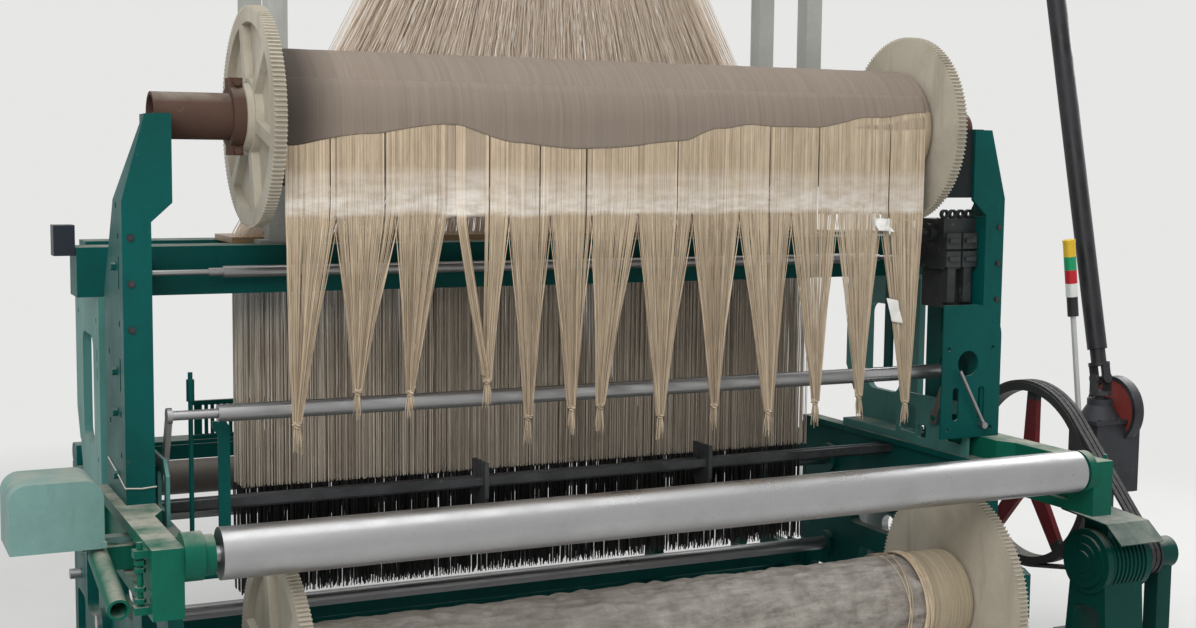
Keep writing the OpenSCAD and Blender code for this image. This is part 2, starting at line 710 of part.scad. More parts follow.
module lower_beam_barrel() color(steel) {
    xbar(barrel_d, lower_left_in - rim_w - 40, lower_right_in + rim_w + 40, -lower_back, lower_z, 96);
    xbar(lower_journal_d, -fin - 10 + 5, fin + 5, -lower_back, lower_z, 64);
}

module lower_left_flange() color(cream) beam_flange(lower_r, lower_teeth, tooth_h,
    barrel_d + 2 * run_fit, lower_left_in, -1, -lower_back, lower_z, barrel_d + 56);

module lower_right_flange() color(cream) beam_flange(lower_r, lower_teeth, tooth_h,
    barrel_d + 2 * run_fit, lower_right_in, 1, -lower_back, lower_z, barrel_d + 56);

module lower_warp_package() color(yarn)
    warp_package(lower_pack_d, barrel_d + 2 * run_fit, 24, lower_left_in, -lower_back, lower_z);

module lower_let_off_pinion() {
    tip = lower_pin_pitch + add_k * tooth_h;
    color(dark_steel) xgear(tip, lower_pin_teeth, tooth_h, lower_right_in + 2, lower_right_in + rim_w - 2,
        lower_pin_y, lower_z, 0, 10);
    color(steel) xbar(28, lower_right_in + rim_w - 2.5, fin - 60, lower_pin_y, lower_z);
    color(steel) xbar(12, lower_right_in + 2, lower_right_in + rim_w, lower_pin_y, lower_z);
}

module lower_let_off_box() {
    x0 = fin - 120;
    color(green) difference() {
        union() {
            slab(x0, fin, lower_pin_y - 75, lower_pin_y + 85, lower_z - 75, lower_z + 75);
            xbar(60, x0 - 20, x0, lower_pin_y, lower_z);
            xbar(90, x0 - 8, x0, lower_pin_y + 30, lower_z);
        }
        xbar(28 + 2 * run_fit, x0 - 30, x0 + 62, lower_pin_y, lower_z);
    }
}

// Upper guide tube with its thin stepped ends
module guide_tube() color(steel) {
    xbar(guide_d, -fin + 225, fin - 165, guide_y, guide_z);
    xbar(24, -fin + 185, fin - 125, guide_y, guide_z);
    xbar(16, -fin + 11, fin - 11, guide_y, guide_z);
}

// Guide tube plates with their hangers, and the pivot blocks of the tension levers
module tube_brackets() color(green) {
    tension_pivots();
    tie_uprights();
    for (m = [0, 1]) mirror([m, 0, 0]) side_plate(fin - 25, fin - 13) difference() {
        polygon([[rail_rear_y, guide_z - 45], [rail_rear_y, guide_z + 45], [guide_y - 20, guide_z + 24],
            [guide_y - 20, guide_z - 24]]);
        translate([guide_y, guide_z]) circle(d = 16 + 2 * run_fit, $fn = 32);
    }
    for (m = [0, 1]) mirror([m, 0, 0]) slab(fin - 25, fin - 13, rail_rear_y, rail_rear_y + 40,
        rail_bot - 362, rail_bot);
}

// Rod and hooked strap that stand on the rear tie, at the left
module tie_uprights() {
    translate([-fin + 89, rear_tie_y, rear_tie_top]) cylinder(d = 13, h = 480, $fn = 32);
    translate([-fin + 89, rear_tie_y, rear_tie_top + 400]) cylinder(d = 22, h = 60, $fn = 32);
    translate([-fin + 163, rear_tie_y + 5, rear_tie_top]) rotate([90, 0, 0]) linear_extrude(9)
        polygon([[0, 0], [0, 300], [-16, 322], [-16, 340], [22, 340], [33, 322], [33, 0]]);
}

// Tension tube on its two levers
module tension_tube() color(steel) {
    z0 = lever_z;
    y0 = lever_y;
    xbar(tension_d, -fin + 145, fin - 25, tension_y, tension_z);
    xbar(26, -fin + 8, fin - 8, tension_y, tension_z);
    for (m = [0, 1]) mirror([m, 0, 0]) side_plate(fin - 22, fin - 8) difference() {
        union() {
            translate([tension_y, tension_z]) circle(22, $fn = 32);
            translate([y0, z0]) circle(22, $fn = 32);
            polygon([[tension_y - 14, tension_z - 8], [y0 - 14, z0 - 8], [y0 + 14, z0 + 8],
                [tension_y + 14, tension_z + 8]]);
        }
        translate([y0, z0]) circle(d = 20 + 2 * run_fit, $fn = 32);
    }
}

// Pivot blocks on the stands
module tension_pivots() for (m = [0, 1]) mirror([m, 0, 0]) {
    slab(fin + ledge_t, fx, lever_y - 30, lever_y + 30, lever_z - 32, lever_z + 32);
    xbar(20, fin - 24, fin + ledge_t + 1, lever_y, lever_z);
}

module drop_wire_bars() {
    color(dark_steel) slab(-fin, fin, drop_y - 45, drop_y - 33, drop_z - 12, drop_z + 14);
    color(steel) xbar(16, -fin, fin, drop_y + 30, drop_z);
    color(dark_steel) slab(-fin, fin, drop_y - 8, drop_y + 2, drop_z - 26, drop_z - 6);
}

// Forked stands of the drop wire bars, on the middle tie
module drop_bar_stands() color(dark_steel) for (x = [-260, 550]) {
    foot = mid_tie_z + tie_s / 2;
    difference() {
        side_plate(x, x + 14) polygon([[drop_y - 30, foot], [drop_y - 30, drop_z - 92],
            [drop_y - 60, drop_z - 52], [drop_y - 60, drop_z + 60], [drop_y + 50, drop_z + 60],
            [drop_y + 50, drop_z - 52], [drop_y + 25, drop_z - 92], [drop_y + 25, foot]]);
        slab(x - 1, x + 15, drop_y - 45, drop_y - 33, drop_z - 12, drop_z + 70);
        slab(x - 1, x + 15, drop_y - 8, drop_y + 2, drop_z - 26, drop_z + 70);
        xbar(16, x - 1, x + 15, drop_y + 30, drop_z);
        slab(x - 1, x + 15, drop_y + 22, drop_y + 38, drop_z, drop_z + 70);
    }
}

// Perforated board that spreads the harness, on the two top rails
module comber_board() {
    w = harness_w + 60;
    color([0.55, 0.42, 0.28]) difference() {
        slab(harness_shift - w / 2, harness_shift + w / 2, harness_y - rail_gap / 2 - 25,
            harness_y + rail_gap / 2 + 25, rail_top, rail_top + board_t);
        for (i = [0:10], j = [-1, 1]) translate([harness_shift - w / 2 + 40 + i * (w - 80) / 10,
            harness_y + j * (rail_gap / 2 + 10), rail_top - 1]) cylinder(d = 8, h = board_t + 2, $fn = 16);
    }
}

// Fan of harness cords between the collar board and the comber board
module cord_fan() {
    z0 = rail_top + board_t;
    color(yarn) intersection() {
        translate([0, harness_y + 200, 0]) rotate([90, 0, 0]) linear_extrude(400)
            polygon([[harness_shift - harness_w / 2, z0], [harness_shift + harness_w / 2, z0],
                [harness_shift + fan_top_w / 2, collar_z], [harness_shift - fan_top_w / 2, collar_z]]);
        side_plate(harness_shift - harness_w, harness_shift + harness_w)
            polygon([[harness_y - harness_d / 2, z0], [harness_y + harness_d / 2, z0],
                [harness_y + 60, collar_z], [harness_y - 60, collar_z]]);
    }
}

// Cords and heald wires below the comber board, in groups with gaps between them
module harness_curtain() color([0.55, 0.47, 0.38]) harness_groups(heald_end, rail_top, 20);

// Weights at the lower ends of the heald wires
module harness_weights() color([0.10, 0.10, 0.11]) harness_groups(weight_end, heald_end, 24);

module harness_groups(z0, z1, slit) {
    n = 16;
    pitch = harness_w / n;
    for (i = [0:n - 1], j = [0, 1]) {
        x = harness_shift - harness_w / 2 + i * pitch;
        y = harness_y - harness_d / 2 + j * (harness_d / 2 + 5);
        slab(x + slit / 2, x + pitch - slit / 2, y, y + harness_d / 2 - 5, z0, z1);
    }
}

// Four posts on the top rails that carry the harness machine
module gantry_posts() {
    color(light_green) for (x = [-1, 1], y = [rail_rear_y + rail_d / 2, rail_front_y + rail_d / 2]) {
        px = harness_shift + x * post_x;
        slab(px - post_s / 2, px + post_s / 2, y - post_s / 2, y + post_s / 2, rail_top, gantry_z);
        slab(px - 60, px + 60, y - 35, y + 35, rail_top, rail_top + 12);
    }
}

// Two beams over the posts; the front one reaches out to the head gear box
module gantry_beams() color(light_green) {
    gantry_beam(rail_rear_y + rail_d / 2, harness_shift + post_x + 60);
    gantry_beam(rail_front_y + rail_d / 2, box_x + 65);
}

// Channel beam over the posts
module gantry_beam(y, x1) {
    x0 = harness_shift - post_x - 60;
    difference() {
        slab(x0, x1, y - 35, y + 35, gantry_z, gantry_z + 90);
        slab(x0 + 20, x1 - 20, y + 27, y + 36, gantry_z + 12, gantry_z + 78);
    }
}

// Closed harness machine with its collar board
module harness_machine() {
    z0 = gantry_z + 90;
    color(green) difference() {
        union() {
            slab(head_x0, head_x1, harness_y - 330, harness_y + 330, z0, z0 + 40);
            slab(head_x0 + 20, head_x1 - 20, harness_y - 310, harness_y + 310, z0 + 40, z0 + 520);
            slab(head_x0, head_x1, harness_y - 330, harness_y + 330, z0 + 520, z0 + 545);
            for (x = [head_x0 + 140, head_x1 - 160], s = [-1, 1])
                slab(x, x + 20, harness_y + s * 318 - 12, harness_y + s * 318 + 12, z0 + 40, z0 + 520);
            xbar(80, head_x1 - 22, head_x1 + 10, cross_y, cross_z);
        }
        for (i = [0:11], s = [-1, 1]) slab(harness_shift - 240, harness_shift + 240, harness_y + s * 310 - 6,
            harness_y + s * 310 + 6, z0 + 90 + i * 32, z0 + 102 + i * 32);
        xbar(36 + 2 * run_fit, head_x1 - 40, head_x1 + 20, cross_y, cross_z);
    }
    color([0.55, 0.42, 0.28]) slab(harness_shift - fan_top_w / 2 - 40, harness_shift + fan_top_w / 2 + 40,
        harness_y - 90, harness_y + 90, collar_z, collar_z + 20);
    color(green) for (x = [-1, 1], y = [-1, 1]) translate([harness_shift + x * (fan_top_w / 2 + 25),
        harness_y + y * 60, collar_z + 20]) cylinder(d = 16, h = z0 - collar_z - 20, $fn = 24);
}

module head_cross_shaft() color(steel)
    xbar(36, head_x1 - 38, box_x - 42, cross_y, cross_z);

// Gear box at the upper end of the inclined shaft
module head_gearbox() {
    z0 = gantry_z + 90;
    color(green) difference() {
        union() {
            slab(box_x - 60, box_x + 60, yoke_top_y - 70, rail_front_y + 100, z0, z0 + 140);
            translate([box_x, yoke_top_y, z0 - 20]) cylinder(d = 70, h = 21, $fn = 48);
            xbar(70, box_x - 72, box_x - 59, cross_y, cross_z);
        }
        translate([box_x, yoke_top_y, z0 - 21]) cylinder(d = 40 + 2 * run_fit, h = 62, $fn = 48);
        xbar(36 + 2 * run_fit, box_x - 73, box_x - 40, cross_y, cross_z);
    }
}

// Ears of one half of a universal joint at the origin, towards -Z
module yoke_half() {
    for (m = [0, 1]) mirror([m, 0, 0]) {
        slab(ear_in, ear_in + 14, -16, 16, -48, 0);
        xbar(40, ear_in, ear_in + 14, 0, 0);
    }
    translate([0, 0, -60]) cylinder(d = 78, h = 14, $fn = 48);
}

module lower_yoke() color(dark_steel) {
    translate([box_x, -drive_back, yoke_low_z]) yoke_half();
    translate([box_x, -drive_back, box_top - 20]) cylinder(d = 40, h = yoke_low_z - 59 - box_top + 20);
}

module upper_yoke() color(dark_steel) {
    translate([box_x, yoke_top_y, yoke_top_z]) mirror([0, 0, 1]) yoke_half();
    translate([box_x, yoke_top_y, yoke_top_z + 59]) cylinder(d = 40, h = gantry_z + 90 - yoke_top_z - 29);
}

// Inclined shaft between the two universal joints, with both crosses
module machine_drive_shaft() color(dark_steel)
    translate([box_x, -drive_back, yoke_low_z]) rotate([-shaft_tilt, 0, 0]) {
        for (e = [0, 1]) translate([0, 0, e * shaft_len]) mirror([0, 0, e]) {
            rotate([0, 0, 90]) mirror([0, 0, 1]) yoke_half();
            xbar(16, 3 - ear_in, ear_in - 3, 0, 0);
            for (m = [0, 1]) mirror([m, 0, 0]) translate([ear_in - 3, 0, 0]) rotate([0, 90, 0])
                cylinder(r1 = 8, r2 = 3, h = 3 - gap, $fn = 48);
            rotate([0, 0, 90]) xbar(16, -ear_in - 1, ear_in + 1, 0, 0);
            translate([0, 0, 58]) cylinder(d = 56, h = 60, $fn = 48);
        }
        translate([0, 0, 110]) cylinder(d = 72, h = shaft_len - 220, $fn = 64);
    }

// Bevel gear box on its pedestal, with its domed head and round side cover
module bevel_gearbox() {
    lid = box_top - 85;
    cover_x = box_x + 60;
    color(dark_steel) difference() {
        union() {
            slab(box_x - 75, box_x + 130, -drive_back - 75, -drive_back + 75, shaft_z - 90, lid);
            slab(box_x - 92, box_x + 92, -drive_back - 87, -drive_back + 87, lid, lid + 13);
            translate([box_x, -drive_back, lid + 12]) cylinder(d1 = 156, d2 = 92, h = 50, $fn = 64);
            translate([box_x, -drive_back, lid + 61]) cylinder(d = 92, h = 24, $fn = 48);
            xring(250, 220, cover_x - 5, cover_x + 38, -drive_back, box_top - 45);
            xbar(100, box_x - 95, box_x - 74, -drive_back, shaft_z);
        }
        xbar(shaft_d + 2 * run_fit, box_x - 96, box_x - 30, -drive_back, shaft_z);
        translate([box_x, -drive_back, box_top - 60]) cylinder(d = 40 + 2 * run_fit, h = 62, $fn = 48);
    }
    color(wheel_red) difference() {
        xbar(222, cover_x, cover_x + 28, -drive_back, box_top - 45);
        for (a = [0:5]) xbar(16, cover_x + 14, cover_x + 30, -drive_back + 84 * cos(a * 60 + 30),
            box_top - 45 + 84 * sin(a * 60 + 30));
    }
    color(green) slab(box_x - 45, box_x + 45, -drive_back - 45, -drive_back + 45, 20, shaft_z - 90);
    color(green) slab(box_x - 95, box_x + 95, -drive_back - 95, -drive_back + 95, 0, 20);
}

// Short shaft of the driving wheel with its gear
module drive_shaft() {
    color(steel) xbar(shaft_d, fin - 25, box_x - 32, -drive_back, shaft_z);
    color(dark_steel) xgear(drive_r + add_k * gear_h, drive_teeth, gear_h, gear_x, gear_x + gear_w,
        -drive_back, shaft_z, 0, 20);
}

// Driving wheel with its flat rim and five spokes
module driving_wheel() {
    color(wheel_red) difference() {
        union() {
            xbar(130, wheel_x - 6, wheel_x + wheel_w + 6, -drive_back, shaft_z);
            translate([wheel_x + wheel_w / 2 - 11, -drive_back, shaft_z]) rotate([90, 0, 90])
                linear_extrude(22) for (i = [0:4]) rotate(i * 72 + 20)
                    polygon([[40, -34], [wheel_d / 2 - 20, -24], [wheel_d / 2 - 20, 24], [40, 34]]);
            xring(wheel_d, wheel_d - 56, wheel_x, wheel_x + wheel_w, -drive_back, shaft_z);
        }
        xbar(shaft_d + 2 * run_fit, wheel_x - 10, wheel_x + wheel_w + 10, -drive_back, shaft_z);
    }
}

module idler_gear() color(dark_steel) difference() {
    xgear(idler_r + add_k * gear_h, idler_teeth, gear_h, gear_x, gear_x + gear_w, idler_y, shaft_z,
        180 / idler_teeth, 40 + 2 * run_fit);
    for (a = [0:5]) xbar(62, gear_x - 1, gear_x + gear_w + 1, idler_y + 95 * cos(a * 60),
        shaft_z + 95 * sin(a * 60));
}

// Crankshaft with a throw near each sword of the sley, and its two gear faces
module crankshaft() {
    ends = [-fx - 38, -throw_x - 35, -throw_x + 35, throw_x - 35, throw_x + 35, gear_x2 + gear_w + 10];
    color(steel) {
        for (i = [0, 2, 4]) xbar(shaft_d, ends[i] - (i == 0 ? 0 : 1), ends[i + 1] + (i == 4 ? 0 : 1),
            crank_y, shaft_z);
        for (s = [-1, 1]) {
            for (w = [-1, 1]) side_plate(s * throw_x + w * 47 - 12, s * throw_x + w * 47 + 12) {
                translate([crank_y, shaft_z]) circle(34, $fn = 32);
                translate([crank_y - crank_r, shaft_z]) circle(30, $fn = 32);
                translate([crank_y - crank_r, shaft_z - 30]) square([crank_r, 60]);
            }
            xbar(44, s * throw_x - 40, s * throw_x + 40, crank_y - crank_r, shaft_z);
        }
    }
    color(dark_steel) {
        xgear(drive_r + add_k * gear_h, drive_teeth, gear_h, gear_x, gear_x + gear_w, crank_y, shaft_z,
            0, 20);
        xgear(drive_r + add_k * gear_h, drive_teeth, gear_h, gear_x2, gear_x2 + gear_w, crank_y, shaft_z,
            0, 20);
    }
}

// Rods from the crank throws to the swords
module crank_arms() {
    y0 = crank_y - crank_r;
    color(dark_steel) for (m = [-1, 1]) {
        difference() {
            union() {
                xbar(84, m * throw_x - 30, m * throw_x + 30, y0, shaft_z);
                side_plate(m * throw_x - 15, m * throw_x + 15)
                    polygon([[y0, shaft_z + 28], [y0, shaft_z - 28], [arm_pin_y, arm_pin_z - 20],
                        [arm_pin_y, arm_pin_z + 20]]);
                xbar(56, m * throw_x - 20, m * throw_x + 20, arm_pin_y, arm_pin_z);
                xbar(30, m > 0 ? throw_x : -sword_x + gap, m > 0 ? sword_x - gap : -throw_x,
                    arm_pin_y, arm_pin_z);
            }
            xbar(44 + 2 * run_fit, m * throw_x - 31, m * throw_x + 31, y0, shaft_z);
        }
    }
}

module bottom_shaft() {
    color(steel) xbar(shaft_d, -fx - 38, gear_x2 + gear_w + 10, crank_y, bottom_z);
    color(dark_steel) difference() {
        xgear(bottom_r + add_k * gear_h, bottom_teeth, gear_h, gear_x2, gear_x2 + gear_w, crank_y,
            bottom_z, 180 / bottom_teeth, 20);
        for (a = [0:5]) xbar(84, gear_x2 - 1, gear_x2 + gear_w + 1, crank_y + 140 * cos(a * 60 + 30),
            bottom_z + 140 * sin(a * 60 + 30));
    }
}

// Ribbed motor with its end bell, on a base that also carries the pulley's outboard bearing
module motor() {
    x1 = wheel_x - 15;
    x0 = x1 - 210;
    brg_x = wheel_x + wheel_w + 25;
    foot = 32;
    color(green) difference() {
        union() {
            for (e = [[0, 12, 70], [6, 16, 120], [10, 22, 172], [20, 44, 214], [186, 210, 206]])
                xbar(motor_d * e[2] / 214, x0 + e[0], x0 + e[1], -motor_back, motor_z);
            xbar(motor_d - 22, x0 + 43, x0 + 187, -motor_back, motor_z);
            for (i = [0:7]) xbar(motor_d - 6, x0 + 50 + i * 17, x0 + 56 + i * 17, -motor_back, motor_z);
            slab(x0 + 60, x0 + 150, -motor_back - 55, -motor_back + 55, motor_z, motor_z + 140);
            guard_sheet(x0 + 25, x1 - 5);
            side_plate(x0 + 30, x0 + 190) difference() {
                polygon([[-motor_back - 110, foot - 1], [-motor_back - 80, motor_z - 60],
                    [-motor_back + 80, motor_z - 60], [-motor_back + 110, foot - 1]]);
                translate([-motor_back - 62, foot + 25]) round_rect(124, motor_z - foot - 175, 30);
            }
            slab(x0, brg_x + 70, -motor_back - 120, -motor_back + 120, 0, foot);
            slab(brg_x, brg_x + 60, -motor_back - 30, -motor_back + 30, foot - 1, motor_z);
            xbar(104, brg_x - 6, brg_x + 66, -motor_back, motor_z);
            xbar(70, brg_x + 65, brg_x + 76, -motor_back, motor_z);
        }
        xbar(pulley_shaft_d + 2 * run_fit, x1 - 50, brg_x + 62, -motor_back, motor_z);
    }
}

// Bent sheet over the motor, on its terminal box
module guard_sheet(x0, x1) {
    z = motor_z + 133;
    side_plate(x0, x1) polygon([[-motor_back - 150, z - 52], [-motor_back - 80, z], [-motor_back + 130, z + 14],
        [-motor_back + 130, z + 20], [-motor_back - 82, z + 6], [-motor_back - 154, z - 48]]);
}

// Pulley with its belt lands and its through shaft
module motor_pulley() color(dark_steel) {
    xbar(pulley_d, wheel_x, wheel_x + wheel_w, -motor_back, motor_z);
    for (x = [wheel_x - 5, wheel_x + wheel_w]) xbar(pulley_d + 30, x, x + 5, -motor_back, motor_z);
    xbar(pulley_shaft_d, wheel_x - 60, wheel_x + wheel_w + 84, -motor_back, motor_z);
}

// Points of an arc round c
function arc(c, r, from, to, n) =
    [for (i = [0:n]) let(t = from + (to - from) * i / n) c + r * [cos(t), sin(t)]];

// Outline round the wheel and the pulley at a height above their faces
module belt_outline(up) {
    c0 = [-drive_back, shaft_z];
    c1 = [-motor_back, motor_z];
    r0 = wheel_d / 2 + up;
    r1 = pulley_d / 2 + up;
    b = atan2(c1[1] - c0[1], c1[0] - c0[0]);
    a = acos((r0 - r1) / norm(c1 - c0));
    polygon(concat(arc(c0, r0, b + a, b + 360 - a, 72), arc(c1, r1, b - a, b + a, 24)));
}

module drive_belts() color([0.08, 0.08, 0.08]) for (i = [0:2])
    side_plate(wheel_x + (i + 0.12) * wheel_w / 3, wheel_x + (i + 0.88) * wheel_w / 3) difference() {
        belt_outline(10);
        belt_outline(gap);
    }

// Sley: rocking shaft, two swords and the race beam
module sley() {
    color(steel) xbar(50, -fin - 18, fin + 18, sley_y, sley_z);
    color(green) for (m = [0, 1]) mirror([m, 0, 0]) side_plate(sword_x, sword_x + 40) difference() {
        union() {
            translate([sley_y, sley_z]) circle(50, $fn = 48);
            polygon([[sley_y - 45, sley_z], [sley_y + 45, sley_z], [sley_y + 26, race_z - 60],
                [sley_y - 26, race_z - 60]]);
        }
        translate([sley_y, sley_z]) circle(d = 50 + 2 * run_fit, $fn = 48);
    }
    color(green) slab(-fin + 25, fin - 25, sley_y - 50, sley_y + 50, race_z - 60, race_z - 12);
    color([0.55, 0.42, 0.28]) slab(-fin + 25, fin - 25, sley_y - 40, sley_y + 60, race_z - 12, race_z);
    color(steel) for (z = [race_z, race_z + reed_h - 14])
        slab(harness_shift - harness_w / 2 - 30, harness_shift + harness_w / 2 + 30, sley_y - 30, sley_y - 14, z, z + 14);
    color(steel) reed();
}

// Reed wall with its row of dents
module reed() {
    n = 100;
    pitch = harness_w / n;
    translate([harness_shift, sley_y - 20, 0]) rotate([90, 0, 0]) linear_extrude(4) difference() {
        translate([-harness_w / 2 - 20, race_z + 2]) square([harness_w + 40, reed_h - 4]);
        for (i = [0:n - 1]) translate([-harness_w / 2 + (i + 0.3) * pitch, race_z + 16])
            square([pitch * 0.4, reed_h - 32]);
    }
}

module breast_beam() color(green) difference() {
    union() {
        slab(-fx, fx, 880, 950, front_h, front_h + 70);
        xbar(70, -fx, fx, 950, front_h + 35);
    }
    slab(-fin + 30, fin - 30, 892, 945, front_h - 1, front_h + 58);
}

// Roller with two journals in the side frames
module cloth_side_roller(d, z) {
    xbar(d, -fin + 25, fin - 25, cloth_y, z, 96);
    xbar(36, -fx - 35, fx + 35, cloth_y, z);
}

module take_up_roller() color([0.45, 0.42, 0.38]) cloth_side_roller(takeup_d, takeup_z);

module cloth_roller() color(steel) cloth_side_roller(cloth_d, cloth_z);

// Leaning lamp column on the gear box's lid
module signal_lamp() {
    lid = box_top - 85;
    x = box_x - 105;
    y = -drive_back - 10;
    lamps = ["white", "red", "limegreen", "gold"];
    color(dark_steel) slab(x - 18, box_x - 92, y - 18, y + 18, lid, lid + 13);
    translate([x, y, lid + 6]) rotate([0, -lamp_lean, 0]) {
        color([0.75, 0.76, 0.74]) cylinder(d = 20, h = 400);
        color(dark_steel) translate([0, 0, 395]) cylinder(d = 40, h = 74);
        for (i = [0:3]) color(lamps[i]) translate([0, 0, 468 + i * 49]) cylinder(d = 44, h = 49);
        color(dark_steel) translate([0, 0, 664]) cylinder(d = 46, h = 12);
    }
}

// Sheet cover with round upper edges outside the left arm, with its bracket
module side_cover() {
    x1 = -fx - 160;
    w = 225;
    y0 = -760;
    y1 = -560;
    z0 = arm_top - 55;
    h = 165;
    wall = 3;
    color(light_green) difference() {
        hood(x1 - w, y0, y1, z0, w, h, 46);
        hood(x1 - w + wall, y0 + wall, y1 - wall, z0 - 1, w - 2 * wall, h - wall + 1, 46 - wall);
    }
    color(light_green) slab(x1 - 8, x1 + 4, y0 - 8, y1 + 8, z0 - 5, z0 + 10);
    color(green) slab(x1 - 100, -fx - 83, y0 + 80, y0 + 120, z0 - 15, z0);
    color(green) slab(x1 - w, x1, y0, y1, z0 - 8, z0);
}

// Block along Y whose two upper edges are rounded
module hood(x, y0, y1, z, w, h, r) translate([x, y1, z]) rotate([90, 0, 0]) linear_extrude(y1 - y0) {
    square([w, h - r]);
    translate([r, 0]) square([w - 2 * r, h]);
    for (i = [r, w - r]) translate([i, h - r]) circle(r, $fn = 48);
}

left_side_frame();
right_side_frame();
upper_side_plates();
rear_top_rail();
front_top_rail();
cross_ties();
left_beam_stand();
right_beam_stand();
beam_saddles();
back_roller_arms();
roller_bearings();
back_rest_roller();
lower_beam_brackets();
upper_beam_tube();
upper_beam_collars();
upper_left_flange();
upper_right_flange();
upper_warp_package();
hanging_warp_ends();
upper_let_off_pinion();
upper_let_off_box();
lower_beam_barrel();
lower_left_flange();
lower_right_flange();
lower_warp_package();
lower_let_off_pinion();
lower_let_off_box();
guide_tube();
tube_brackets();
tension_tube();
drop_wire_bars();
drop_bar_stands();
comber_board();
cord_fan();
harness_curtain();
harness_weights();
gantry_posts();
gantry_beams();
harness_machine();
head_cross_shaft();
head_gearbox();
upper_yoke();
machine_drive_shaft();
lower_yoke();
bevel_gearbox();
drive_shaft();
driving_wheel();
idler_gear();
crankshaft();
crank_arms();
bottom_shaft();
motor();
motor_pulley();
drive_belts();
sley();
breast_beam();
take_up_roller();
cloth_roller();
signal_lamp();
side_cover();
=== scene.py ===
"""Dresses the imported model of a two-beam terry loom with its finishes, yarn, harness cords and fittings."""

import logging
import math
import random
from collections.abc import Callable
from dataclasses import dataclass, field
from enum import Enum

import bpy
from mathutils import Matrix, Vector, noise


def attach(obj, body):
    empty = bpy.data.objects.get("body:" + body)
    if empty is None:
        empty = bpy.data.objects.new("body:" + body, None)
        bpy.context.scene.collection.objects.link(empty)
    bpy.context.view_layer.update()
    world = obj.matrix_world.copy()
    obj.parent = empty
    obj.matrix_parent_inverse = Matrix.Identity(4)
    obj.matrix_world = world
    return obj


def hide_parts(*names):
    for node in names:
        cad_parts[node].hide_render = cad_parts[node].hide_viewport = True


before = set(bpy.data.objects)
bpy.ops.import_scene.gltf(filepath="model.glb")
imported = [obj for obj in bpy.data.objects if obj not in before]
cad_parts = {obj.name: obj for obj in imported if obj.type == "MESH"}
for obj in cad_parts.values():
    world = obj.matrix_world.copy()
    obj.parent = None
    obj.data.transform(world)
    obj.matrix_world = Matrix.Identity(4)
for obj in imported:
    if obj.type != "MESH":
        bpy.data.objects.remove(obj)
log = logging.getLogger("loom")

Pair = tuple[float, float]
Point = tuple[float, float, float]
Colour = tuple[float, float, float]
Socket = bpy.types.NodeSocket
Paths = list[list[Point]]
Radii = list[list[float]]
Shape = tuple[list[Point], list[tuple]]
Reach = Callable[[float, float, float, float], float]


class Axis(Enum):
    """The way in which a finish or a run of yarn is drawn out."""

    X = (1.0, 0.0, 0.0)
    Y = (0.0, 1.0, 0.0)
    Z = (0.0, 0.0, 1.0)


@dataclass(frozen=True)
class Zone:
    """A stretch of the loom in which a finish takes another colour.

    The third bound is measured along a direction of its own, which points up unless it is given. Where ball
    is set, the stretch also ends at that distance from its own middle.
    """

    low: Point
    high: Point
    colour: Colour
    along: Point = Axis.Z.value
    ball: float = 0.0


class Graph:
    """A node tree that is filled one node at a time."""

    def __init__(self, tree: bpy.types.NodeTree) -> None:
        """Starts with an empty tree.

        Args:
            tree: The shader or geometry tree to fill.
        """
        self.tree = tree
        tree.nodes.clear()

    def add(self, kind: str, inputs: dict | None = None, **props: object) -> bpy.types.Node:
        """Adds one node.

        Args:
            kind: The node's bl_idname.
            inputs: Values or sockets by input name or number.
            props: Properties of the node itself.

        Returns:
            The new node.
        """
        node = self.tree.nodes.new(kind)
        for name, value in props.items():
            setattr(node, name, value)
        for key, value in (inputs or {}).items():
            if isinstance(value, bpy.types.NodeSocket):
                self.tree.links.new(value, node.inputs[key])
            else:
                node.inputs[key].default_value = value
        return node

    def math(self, operation: str, a: float | Socket, b: float | Socket = 0.0,
             c: float | Socket = 0.0) -> Socket:
        """Adds a Math node and returns its result."""
        return self.add("ShaderNodeMath", {0: a, 1: b, 2: c}, operation=operation).outputs[0]

    def times(self, a: float | Socket, b: float | Socket) -> Socket:
        """Adds a Math node that multiplies and returns its result."""
        return self.math("MULTIPLY", a, b)

    def vector(self, operation: str, a: object, b: object = (0.0, 0.0, 0.0)) -> Socket:
        """Adds a Vector Math node and returns its vector."""
        return self.add("ShaderNodeVectorMath", {0: a, 1: b}, operation=operation).outputs[0]

    def dice(self, seed: int, low: float | Point, high: float | Point) -> Socket:
        """Adds a Random Value node.

        Args:
            seed: Its seed.
            low: The least number or vector.
            high: The greatest.

        Returns:
            The random number or vector.
        """
        many = isinstance(low, tuple)
        inputs = {0: low, 1: high} if many else {2: low, 3: high}
        node = self.add("FunctionNodeRandomValue", {**inputs, "Seed": seed},
                        data_type="FLOAT_VECTOR" if many else "FLOAT")
        return node.outputs[0 if many else 1]

    def named(self, name: str, kind: str) -> Socket:
        """Reads a named attribute in a geometry tree."""
        return self.add("GeometryNodeInputNamedAttribute", {"Name": name}, data_type=kind).outputs[0]

    def store(self, geometry: Socket, name: str, value: Socket, kind: str, domain: str) -> Socket:
        """Keeps a value as a named attribute and returns the geometry."""
        inputs = {"Geometry": geometry, "Name": name, "Value": value}
        return self.add("GeometryNodeStoreNamedAttribute", inputs, data_type=kind, domain=domain).outputs[0]


